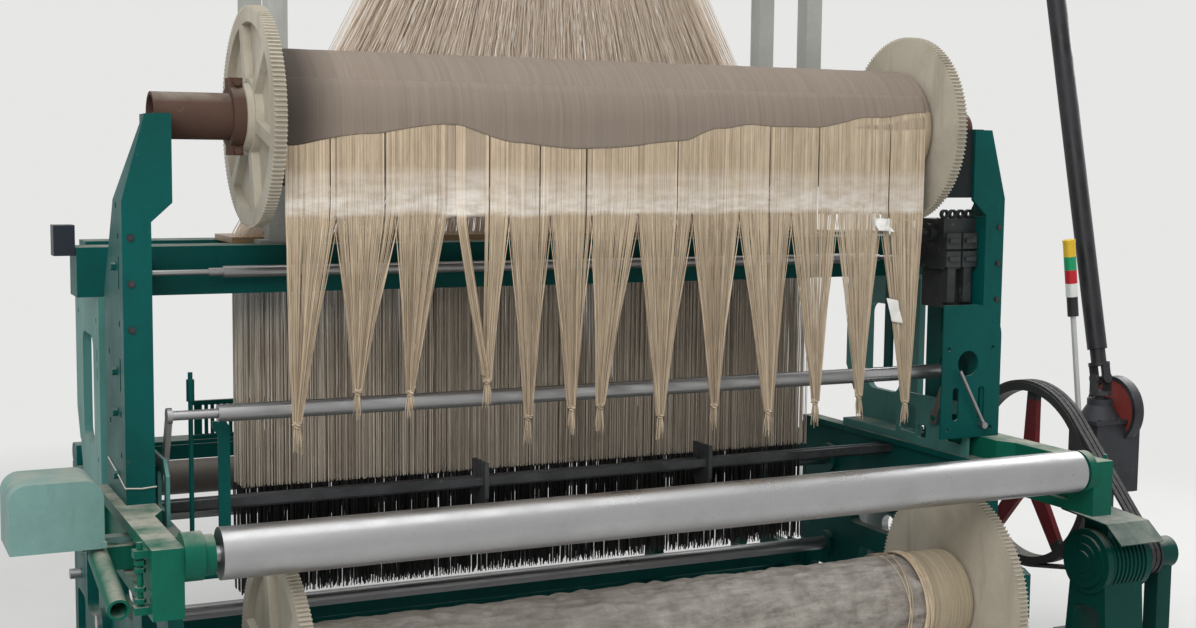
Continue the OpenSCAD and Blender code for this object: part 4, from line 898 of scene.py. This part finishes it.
def thin_sheet(across: int, down: int, spot: Callable[[int, int, int], Point]) -> Shape:
    """Builds a closed thin sheet.

    Args:
        across: Faces across the sheet.
        down: Faces down the sheet.
        spot: The place of a column, a row and a side, which is 0 outside and 1 inside.

    Returns:
        Its points, side by side and row by row, and its faces.
    """
    points = [spot(i, j, side) for side in (0, 1) for j in range(down + 1) for i in range(across + 1)]
    layer = (down + 1) * (across + 1)
    faces = []
    for j in range(down):
        for i in range(across):
            a = j * (across + 1) + i
            quad = (a, a + across + 1, a + across + 2, a + 1)
            faces += [quad, tuple(layer + v for v in reversed(quad))]
    rim = list(range(across)) + [across + j * (across + 1) for j in range(down)]
    rim += [layer - 1 - i for i in range(across)] + [(across + 1) * (down - j) for j in range(down)]
    faces += [(a, b, b + layer, a + layer) for a, b in zip(rim, rim[1:] + rim[:1])]
    return points, faces


@dataclass(frozen=True)
class Roll:
    """A wound roll of yarn round a beam: its ends, its axis in Y and Z, its radius and its soft shoulders."""

    ends: Pair
    axis: Pair
    radius: float
    shoulder: float
    columns: int
    turns: int

    def fall(self, x: float) -> float:
        """How far the surface lies inside the full radius at a place along the roll."""
        past = max(0.0, self.shoulder - min(x - self.ends[0], self.ends[1] - x))
        return self.shoulder - math.sqrt(max(0.0, self.shoulder ** 2 - past ** 2))

    def shape(self, reach: Reach) -> tuple[list[Point], list[tuple], list[Pair]]:
        """Builds the closed roll.

        Args:
            reach: Its radius, from the place along it, the fall there and the cosine and sine of the angle.

        Returns:
            Its points, its faces and its thread map, one pair for each face corner.
        """
        (low, high), (y0, z0), columns, turns = self.ends, self.axis, self.columns, self.turns
        points, faces, uv = [], [], []
        for i in range(columns + 1):
            x = low + (high - low) * i / columns
            fall = self.fall(x)
            for k in range(turns):
                c, s = math.cos(math.tau * k / turns), math.sin(math.tau * k / turns)
                r = reach(x, fall, c, s)
                points.append((x, y0 + r * c, z0 + r * s))
        for i in range(columns):
            for k in range(turns):
                j = (k + 1) % turns
                faces.append((i * turns + k, i * turns + j, (i + 1) * turns + j, (i + 1) * turns + k))
                uv += [(low + (high - low) * c / columns, t * math.tau * self.radius / turns)
                       for c, t in ((i, k), (i, k + 1), (i + 1, k + 1), (i + 1, k))]
        for ring in (range(turns - 1, -1, -1), range(columns * turns, (columns + 1) * turns)):
            faces.append(tuple(ring))
            uv += [points[v][1:] for v in ring]
        return points, faces, uv


@dataclass
class UpperBeam:
    """The upper beam's warp, with its hanging ends in knotted bunches."""

    shop: Shop
    ends: Pair = (-1.0397, 1.0897)
    axis: Pair = (-0.450, 1.878)
    radius: float = 0.188
    split: float = 1.615
    draw: float = 1.05
    neck: float = 0.010
    border: tuple[Pair, ...] = (
        (-1.10, 1.81), (-1.001, 1.803), (-0.80, 1.835), (-0.551, 1.864), (-0.35, 1.815), (-0.170, 1.799),
        (0.0, 1.81), (0.171, 1.832), (0.30, 1.868), (0.410, 1.880), (0.62, 1.872), (0.85, 1.91),
        (1.056, 1.933))
    bunches: tuple[Bunch, ...] = tuple(Bunch(*(v / 1000 for v in row)) for row in (
        (-1021, -885, -995, 1060), (-881, -714, -825, 1140), (-710, -567, -676, 1130),
        (-541, -512, -452, 1165), (-454, -385, -448, 1150), (-381, -258, -320, 1040),
        (-254, -126, -184, 1060), (-122, 22, -92, 1060), (26, 203, 106, 1020), (207, 364, 291, 1040),
        (368, 547, 481, 1010), (551, 714, 651, 1030), (718, 877, 815, 1040), (881, 1044, 994, 1010)))
    slits: tuple[float, ...] = (-0.898, -0.745, -0.441, -0.288, -0.142, 0.154, 0.471, 0.646, 0.911)
    slit: float = 0.0045
    lift: float = 0.0026
    thick: float = 0.0008
    knotted: float = 0.05

    def border_at(self, x: float) -> float:
        """Height of the grey cover's lower edge.

        Args:
            x: The place along the beam.

        Returns:
            The edge's height.
        """
        edge = self.border[-1][1]
        for (x0, z0), (x1, z1) in zip(self.border, self.border[1:]):
            if x0 <= x <= x1:
                share = (x - x0) / (x1 - x0)
                edge = z0 + (z1 - z0) * share * share * (3 - 2 * share)
        return edge + 0.006 * noise.noise(Vector((x * 9, 0.3, 0.0)))

    def cover_at(self, x: float, z: float) -> float:
        """How much of the grey cover shows at a place on the rear of the warp, from 0 to 1."""
        return min(1.0, max(0.0, (z - self.border_at(x)) / 0.006 + 0.5))

    def skin(self, z: float, lift: float) -> float:
        """The Y of what lies on the roll's rear, or hangs straight down below its axis.

        Args:
            z: Height of the point.
            lift: How far it lies off the roll.

        Returns:
            Its Y in the row frame.
        """
        reach = self.radius + lift
        rise = max(0.0, z - self.axis[1])
        return self.axis[0] - math.sqrt(max(0.0, reach * reach - rise * rise))

    def roll(self) -> None:
        """Makes the wound warp with its soft shoulders and fine ripples."""
        def reach(x: float, fall: float, c: float, s: float) -> float:
            """The rippled radius at one point."""
            return self.radius - 0.0006 - fall + 0.0008 * noise.noise(Vector((x * 26, c * 0.7, s * 0.7)))

        roll = Roll(self.ends, self.axis, self.radius, shoulder=0.036, columns=240, turns=160)
        points, faces, uv = roll.shape(reach)
        bare = self.axis[0] + 0.3 * self.radius
        cover = [self.cover_at(x, z) if y < bare else 1.0 for x, y, z in points]
        obj = Maker.mesh("upper_warp", points, faces)
        Maker.dress(obj, uv, self.shop.finishes["warp_yarn"], cover)
        Maker.done(obj, "upper_beam", "warp_yarn", ("upper_warp_package",))

    def hang(self, name: str, points: list[Point], faces: list[tuple], grey: float) -> None:
        """Makes a sheet that hangs from the roll and puts it on the frame.

        Args:
            name: The piece's name.
            points: Its vertices.
            faces: Its faces.
            grey: 1 for the grey cover and 0 for bare threads.
        """
        obj = Maker.mesh(name, points, faces)
        uv = [(points[v][0], points[v][2]) for face in faces for v in face]
        Maker.dress(obj, uv, self.shop.finishes["warp_yarn"], [grey] * len(points))
        Maker.done(obj, "root", "warp_yarn")

    def place(self, bunch: Bunch, u: float, z: float, swell: float) -> Point:
        """A point on a bunch.

        Args:
            bunch: The bunch.
            u: 0 at its left edge, 1 at its right.
            z: The point's height, from the cover down to the knot.
            swell: How far the point lies round the front or back of the drawn-in part, from -1 to 1.

        Returns:
            The point in the row frame.
        """
        taper = max(0.0, (self.split - z) / (self.split - bunch.knot_z))
        ease = taper ** self.draw
        left = bunch.left + (bunch.knot_x - self.neck - bunch.left) * ease
        right = bunch.right + (bunch.knot_x + self.neck - bunch.right) * ease
        x = left + (right - left) * u
        x += 0.004 * taper * noise.noise(Vector((bunch.knot_x * 31, z * 5, u * 2)))
        ripple = 0.0012 * math.sin(u * 19 + bunch.knot_x * 40) * min(1.0, 6 * taper)
        return (x, self.skin(z, self.lift) - ripple + swell * 0.010 * taper - 0.0015 * taper, z)

    def sheet(self) -> None:
        """Makes the close threads under the cover's edge, in strips between the slits."""
        points, faces = [], []
        across, down = 20, 40
        high, low = self.axis[1] + 0.09, self.split - 0.004
        edges = (self.bunches[0].left, *self.slits, self.bunches[-1].right)
        for left, right in zip(edges, edges[1:]):
            def spot(i: int, j: int, side: int) -> Point:
                """The place of one corner of the strip."""
                z = high + (low - high) * j / down
                x = left + self.slit / 2 + (right - left - self.slit) * i / across
                fray = 0.008 * noise.noise(Vector((x * 40, 7.0, 0.0))) if j == down else 0.0
                deep = 0.0012 * min(1.0, max(0.0, (z - self.axis[1]) / 0.02))
                return (x, self.skin(z, self.lift) + 0.0010 + deep + side * self.thick, z + fray)

            first = len(points)
            strip, quads = thin_sheet(across, down, spot)
            points += strip
            faces += [tuple(first + v for v in quad) for quad in quads]
        self.hang("warp_sheet", points, faces, 0.0)

    def cover(self) -> None:
        """Makes the grey cover's last turn, whose edge hangs unevenly over the threads."""
        across, down = 300, 24
        high = self.axis[1] + 0.105
        left, right = self.bunches[0].left - 0.004, self.bunches[-1].right + 0.004

        def spot(i: int, j: int, side: int) -> Point:
            """The place of one corner of the cover."""
            x = left + (right - left) * i / across
            z = high + (self.border_at(x) - high) * j / down
            sink = 0.004 * max(0.0, 1 - j / 3)
            return (x, self.skin(z, self.lift) - 0.0008 + side * self.thick + sink, z)

        self.hang("warp_cover_edge", *thin_sheet(across, down, spot), 1.0)

    def knot(self, bunch: Bunch, dice: random.Random, paths: Paths, gauges: Radii) -> None:
        """Adds a bunch's knot, with its turns of yarn and its frayed tassel.

        Args:
            bunch: The bunch.
            dice: The random numbers in use.
            paths: The strands so far; the knot's are added.
            gauges: Their radii, added to in the same way.
        """
        x, y, z = bunch.knot_x, self.axis[0] - self.radius - 0.0045, bunch.knot_z
        fibres, turns, steps = 34, 5, 12
        for _ in range(fibres):
            a, r = dice.uniform(0, math.tau), math.sqrt(dice.random())
            low, spread = dice.uniform(0.035, 0.085), dice.uniform(0.4, 1.0)
            paths.append([(x + 0.006 * r * math.cos(a), y + 0.005 * r * math.sin(a), z),
                          (x + 0.013 * r * math.cos(a) * spread, y + 0.010 * r * math.sin(a), z - low * 0.5),
                          (x + 0.017 * r * math.cos(a) * spread, y + 0.012 * r * math.sin(a), z - low)])
            gauges.append([0.0012, 0.0013, 0.0007])
        for turn in range(turns):
            loop = []
            for i in range(steps + 1):
                a = math.tau * i / steps
                r = 0.0085 + 0.003 * math.sin(2 * a + 1.3 * turn)
                loop.append((x + r * math.cos(a), y + r * 0.8 * math.sin(a),
                             z + 0.006 - 0.0035 * turn + 0.004 * math.sin(a + 1.3 * turn)))
            paths.append(loop)
            gauges.append([0.0032] * (steps + 1))

    def bunch_strands(self) -> None:
        """Makes the separate threads of each bunch, with its knot and tassel, in two pieces."""
        dice = random.Random(17)
        fewest, per_metre, steps = 40, 900, 13
        for name, group in (("left_bunches", self.bunches[:7]), ("right_bunches", self.bunches[7:])):
            paths, gauges = [], []
            for bunch in group:
                count = int(fewest + (bunch.right - bunch.left) * per_metre)
                for n in range(count):
                    u = (n + dice.random()) / count
                    swell = dice.uniform(-1.0, 1.0)
                    bend = dice.uniform(-0.09, 0.09)
                    x = bunch.left + (bunch.right - bunch.left) * u
                    if min(abs(x - slit) for slit in self.slits) < self.slit / 2:
                        continue
                    top = self.border_at(x) + 0.006
                    path = []
                    for i in range(steps + 1):
                        v = i / steps
                        drift = u + bend * math.sin(v * 3.1) * v * v
                        z = top + (bunch.knot_z - top) * v
                        path.append(self.place(bunch, min(1.0, max(0.0, drift)), z, swell))
                    paths.append(path)
                    gauges.append([dice.uniform(0.0005, 0.0010)] * (steps + 1))
                if bunch.right - bunch.left > self.knotted:
                    self.knot(bunch, dice, paths, gauges)
            if name == "left_bunches":
                self.strays(dice, paths, gauges)
            obj = self.shop.strands(name, "bunch_string", paths, gauges, 3, 5)
            Maker.done(obj, "root", "warp_yarn", ("hanging_warp_ends",))

    def strays(self, dice: random.Random, paths: Paths, gauges: Radii) -> None:
        """Adds the threads that leave one bunch's edge for the next one's knot.

        Args:
            dice: The random numbers in use.
            paths: The strands so far; the strays are added.
            gauges: Their radii, added to in the same way.
        """
        steps = 8
        wide = [bunch for bunch in self.bunches if bunch.right - bunch.left > self.knotted]
        for left, right in zip(wide, wide[1:]):
            for home, goal in ((right, left), (left, right)):
                for _ in range(dice.randint(2, 7) if right.left - left.right < 0.05 else 0):
                    start = home.left + 0.004 if home is right else home.right - 0.004
                    end_z = goal.knot_z + dice.uniform(0.0, 0.06)
                    path = []
                    for i in range(steps + 1):
                        v = i / steps
                        z = self.split + (end_z - self.split) * v
                        path.append((start + (goal.knot_x - start) * v ** 1.1, self.skin(z, 0.004), z))
                    paths.append(path)
                    gauges.append([dice.uniform(0.0007, 0.0013)] * (steps + 1))

    def build(self) -> None:
        """Makes the beam's yarn."""
        self.roll()
        self.sheet()
        self.cover()
        self.bunch_strands()


@dataclass
class LowerBeam:
    """The lower beam's warp in its crumpled wrapping, with the yarn that binds it."""

    shop: Shop
    ends: Pair = (-1.0727, 1.0567)
    axis: Pair = (-0.808, 0.409)
    radius: float = 0.152
    film_end: float = 0.885

    def ties(self) -> None:
        """Makes the turns of yarn that bind the wrapping's end, with one loose turn beside them."""
        dice = random.Random(23)
        paths, gauges = [], []
        tight, loose, steps = 22, 4, 56
        for n in range(tight + loose):
            x = self.film_end - 0.012 + dice.uniform(-0.014, 0.014)
            lean, phase = dice.uniform(0.0, 0.010), dice.uniform(0, math.tau)
            if n >= tight:
                x, lean = self.film_end - 0.075 + dice.uniform(-0.006, 0.006), 0.016
            r = self.radius + dice.uniform(-0.001, 0.0035)
            ring = [math.tau * i / steps for i in range(steps + 1)]
            paths.append([(x + lean * math.sin(a + phase), self.axis[0] + r * math.cos(a),
                           self.axis[1] + r * math.sin(a)) for a in ring])
            gauges.append([dice.uniform(0.0012, 0.0022)] * (steps + 1))
        obj = self.shop.strands("lower_wrap_ties", "bunch_string", paths, gauges, 5, 29)
        Maker.done(obj, "lower_beam", "warp_yarn")

    def build(self) -> None:
        """Makes the ties and the wrapped roll with its creases."""
        def reach(x: float, fall: float, c: float, s: float) -> float:
            """The creased radius at one point."""
            wrapped = min(1.0, max(0.0, (self.film_end - x) / 0.02))
            fold = noise.noise(Vector((x * 5 + 4 * s, c * 1.6, s * 1.6 + x * 2)))
            crease = abs(noise.noise(Vector((x * 16, c * 4, s * 4 + x * 6))))
            twist = abs(noise.noise(Vector((x * 7 + 9, c * 7, s * 7 - x * 3))))
            deep = wrapped * (0.010 * (0.5 - crease) + 0.008 * (0.45 - twist))
            return min(self.radius - 0.004 - fall + 0.003 * fold - deep, self.radius - 0.0006 - fall)

        self.ties()
        roll = Roll(self.ends, self.axis, self.radius, shoulder=0.024, columns=300, turns=150)
        points, faces, uv = roll.shape(reach)
        obj = Maker.mesh("lower_warp", points, faces)
        Maker.dress(obj, uv, self.shop.finishes["wrap_film"])
        Maker.done(obj, "lower_beam", "warp_yarn", ("lower_warp_package",))


@dataclass
class Metalwork:
    """The finish of every piece that keeps its CAD shape."""

    shop: Shop
    FINISHES = {
        "green_paint": ("left_side_frame", "right_side_frame", "front_top_rail", "cross_ties",
                        "left_beam_stand", "right_beam_stand", "lower_beam_brackets", "lower_let_off_box",
                        "tube_brackets", "sley", "breast_beam", "head_gearbox"),
        "roller_arm_green": ("back_roller_arms", "roller_bearings"),
        "rear_rail_green": ("rear_top_rail",),
        "saddle_green": ("beam_saddles",),
        "machine_green": ("harness_machine",),
        "motor_green": ("motor",),
        "light_green_paint": ("upper_side_plates",),
        "cover_green": ("side_cover",),
        "pale_grey_paint": ("gantry_posts", "gantry_beams"),
        "polished_steel": ("back_rest_roller", "guide_tube", "tension_tube", "head_cross_shaft",
                           "drive_shaft", "crankshaft", "bottom_shaft", "cloth_roller", "lower_beam_barrel"),
        "cream_paint": ("upper_left_flange", "upper_right_flange", "lower_left_flange", "lower_right_flange"),
        "red_primer": ("upper_beam_tube", "upper_beam_collars"),
        "board_wood": ("comber_board",),
        "bar_iron": ("drop_wire_bars", "drop_bar_stands"),
        "dark_steel": ("upper_let_off_pinion", "lower_let_off_pinion", "upper_yoke", "lower_yoke",
                       "idler_gear", "crank_arms", "motor_pulley"),
        "let_off_iron": ("upper_let_off_box",),
        "shaft_black": ("machine_drive_shaft",),
        "gearbox_iron": ("bevel_gearbox",),
        "lamp_black": ("signal_lamp",),
        "wheel_red": ("driving_wheel",),
        "belt_rubber": ("drive_belts",),
        "roller_cover": ("take_up_roller",),
    }

    def build(self) -> None:
        """Gives each CAD node its finish."""
        for finish, nodes in self.FINISHES.items():
            for node in nodes:
                self.shop.paint(node, finish)


@dataclass
class Trim:
    """Small things on the loom: bolts, a tie rod, twine, a paper tag and a scrap of film."""

    shop: Shop
    lid: tuple[float, float, float, float, float] = (2.078, 2.257, -0.365, -0.215, 0.833)
    stand_rear: float = -0.570
    stand_side: float = 1.430
    bolt_inset: float = 0.022
    bolt_size: float = 0.008

    def scrap(self, name: str, corner: Point, width: Point, height: Point, crumple: float,
              seed: float) -> None:
        """Makes a small crumpled sheet.

        Args:
            name: The piece's name.
            corner: One corner.
            width: From that corner to the next.
            height: From that corner to the one below or above.
            crumple: How far its surface stands out, in metres.
            seed: Which crumpling it gets.
        """
        n, thick = 14, 0.0005
        out = Vector(width).cross(Vector(height)).normalized()

        def spot(i: int, j: int, side: int) -> Point:
            """The place of one corner of the scrap."""
            p = Vector(corner) + Vector(width) * (i / n) + Vector(height) * (j / n)
            bump = noise.noise(p * 38 + Vector((seed, 0, 0))) + 0.5 * noise.noise(p * 90)
            return tuple(p + out * (crumple * bump + side * thick))

        points, faces = thin_sheet(n, n, spot)
        obj = Maker.mesh(name, points, faces)
        obj.data.materials.append(self.shop.finishes["paper_white"])
        obj.data.polygons.foreach_set("use_smooth", [True] * len(obj.data.polygons))
        Maker.done(obj, "root", "warp_yarn")

    def bolts(self) -> None:
        """Sets the bolt heads of the gear box lid and the beam stands."""
        x0, x1, y0, y1, z = self.lid
        up, back = (0.0, 0.0, 1.0), (0.0, -1.0, 0.0)
        spots = [((x, y, z), up) for x in (x0, (x0 + x1) / 2, x1) for y in (y0, y1)]
        spots += [((x, (y0 + y1) / 2, z), up) for x in (x0, x1)]
        spots += [((side * (self.stand_side - self.bolt_inset), self.stand_rear, z), back)
                  for side in (-1, 1) for z in (0.62, 0.70, 1.32, 1.44, 1.56)]
        Maker.done(self.shop.bolts("housing_bolts", spots, self.bolt_size), "root", "dark_steel")

    def build(self) -> None:
        """Makes the small things."""
        self.bolts()
        rod = self.shop.strands("lever_tie_rod", "polished_steel", [
            [(1.248, -0.596, 1.089), (1.352, -0.596, 0.905)],
            [(1.352, -0.604, 0.902), (1.352, -0.578, 0.902)]], [[0.006, 0.006], [0.011, 0.011]], 12)
        Maker.done(rod, "root", "polished_steel")
        side, back = -self.stand_side - 0.002, self.stand_rear - 0.002
        twine = self.shop.strands("stand_twine", "twine", [[
            (side, -0.30, 0.942), (side, -0.42, 0.928), (side, back, 0.905), (-1.39, back, 0.902),
            (-1.352, back, 0.905)]], [[0.0022] * 5], 6)
        Maker.done(twine, "root", "warp_yarn")
        self.scrap("yarn_tag", (0.905, -0.652, 1.345), (0.040, -0.004, -0.008), (0.022, 0.0, -0.075),
                   0.003, 3.0)
        self.scrap("film_tuft", (0.845, -0.652, 1.600), (0.055, -0.004, -0.006), (0.018, -0.006, -0.040),
                   0.010, 5.0)


@dataclass
class Studio:
    """Camera, lights, floor and backdrop."""

    eye: Point = (-2.138, -4.870, 1.790)
    yaw: float = 25.71
    pitch: float = 5.64
    roll: float = 0.63
    lens: float = 48.95
    background: Colour = (0.80, 0.80, 0.79)
    floor_half: float = 30.0

    def camera(self) -> None:
        """Sets the camera at the photograph's place and angle."""
        yaw, pitch, roll = (math.radians(v) for v in (self.yaw, self.pitch, self.roll))
        ahead = Vector((math.sin(yaw) * math.cos(pitch), math.cos(yaw) * math.cos(pitch), -math.sin(pitch)))
        right = Vector((math.cos(yaw), -math.sin(yaw), 0.0))
        up = right.cross(ahead)
        across = right * math.cos(roll) + up * math.sin(roll)
        upward = up * math.cos(roll) - right * math.sin(roll)
        data = bpy.data.cameras.new("camera")
        data.lens, data.sensor_width, data.clip_end = self.lens, 36.0, 60.0
        obj = bpy.data.objects.new("camera", data)
        turn = Matrix((across, upward, -ahead)).transposed().to_4x4()
        obj.matrix_world = Matrix.Translation(self.eye) @ turn
        bpy.context.scene.collection.objects.link(obj)
        bpy.context.scene.camera = obj

    def lamp(self, name: str, spot: Point, aim: Point, size: float, power: float) -> None:
        """Adds a soft square lamp.

        Args:
            name: The lamp's name.
            spot: Where it hangs.
            aim: The point it faces.
            size: Its width.
            power: Its power in watts.
        """
        data = bpy.data.lights.new(name, "AREA")
        data.size, data.energy = size, power
        obj = bpy.data.objects.new(name, data)
        way = Vector(aim) - Vector(spot)
        obj.matrix_world = Matrix.Translation(spot) @ way.to_track_quat("-Z", "Y").to_matrix().to_4x4()
        bpy.context.scene.collection.objects.link(obj)

    def floor_finish(self) -> bpy.types.Material:
        """Makes the pale floor, which shows shadows near the loom and fades into the background.

        Returns:
            The material.
        """
        s = Surface("floor_pale")
        base = s.mix(s.band(s.grain(0.8, 5.0), 0.3, 0.7), (0.70, 0.70, 0.69), (0.74, 0.74, 0.73))
        near = s.add("ShaderNodeBsdfDiffuse", {"Color": base}).outputs[0]
        far = s.add("ShaderNodeEmission", {"Color": (*self.background, 1.0), "Strength": 1.0}).outputs[0]
        reach = s.add("ShaderNodeVectorMath", {0: s.place}, operation="LENGTH").outputs["Value"]
        both = s.add("ShaderNodeMixShader", {0: s.band(reach, 2.6, 5.5), 1: near, 2: far})
        s.add("ShaderNodeOutputMaterial", {"Surface": both.outputs[0]})
        return s.material

    def build(self) -> None:
        """Makes the camera, the light and the floor."""
        self.camera()
        bpy.context.scene.view_settings.view_transform = "Standard"
        world = bpy.data.worlds.new("studio")
        bpy.context.scene.world = world
        world.use_nodes = True
        g = Graph(world.node_tree)
        path = g.add("ShaderNodeLightPath")
        seen = g.math("MAXIMUM", path.outputs["Is Camera Ray"], path.outputs["Is Glossy Ray"])
        soft = g.add("ShaderNodeBackground", {"Color": (1.0, 1.0, 1.0, 1.0), "Strength": 0.42})
        pale = g.add("ShaderNodeBackground", {"Color": (*self.background, 1.0), "Strength": 1.0})
        both = g.add("ShaderNodeMixShader", {0: seen, 1: soft.outputs[0], 2: pale.outputs[0]})
        g.add("ShaderNodeOutputWorld", {"Surface": both.outputs[0]})
        self.lamp("key_lamp", (-3.5, -5.0, 5.0), (0.0, 0.0, 1.2), 4.0, 260.0)
        self.lamp("window_lamp", (5.5, 1.0, 4.0), (0.0, 0.0, 1.2), 3.5, 190.0)
        self.lamp("roof_lamp", (0.0, -1.0, 6.5), (0.0, 0.0, 0.0), 5.0, 150.0)
        corners = [(x * self.floor_half, y * self.floor_half, -0.001)
                   for x, y in ((-1, -1), (1, -1), (1, 1), (-1, 1))]
        floor = Maker.mesh("floor", corners, [(0, 1, 2, 3)])
        floor.data.materials.append(self.floor_finish())


def main() -> None:
    """Builds every sub-assembly in order."""
    logging.basicConfig(level=logging.INFO, format="%(name)s: %(message)s")
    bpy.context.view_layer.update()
    shop = Shop()
    Studio().build()
    for part in (Metalwork(shop), Harness(shop), UpperBeam(shop), LowerBeam(shop), Trim(shop)):
        part.build()
        log.info("%s is done", type(part).__name__)


if __name__ == "__main__":
    main()
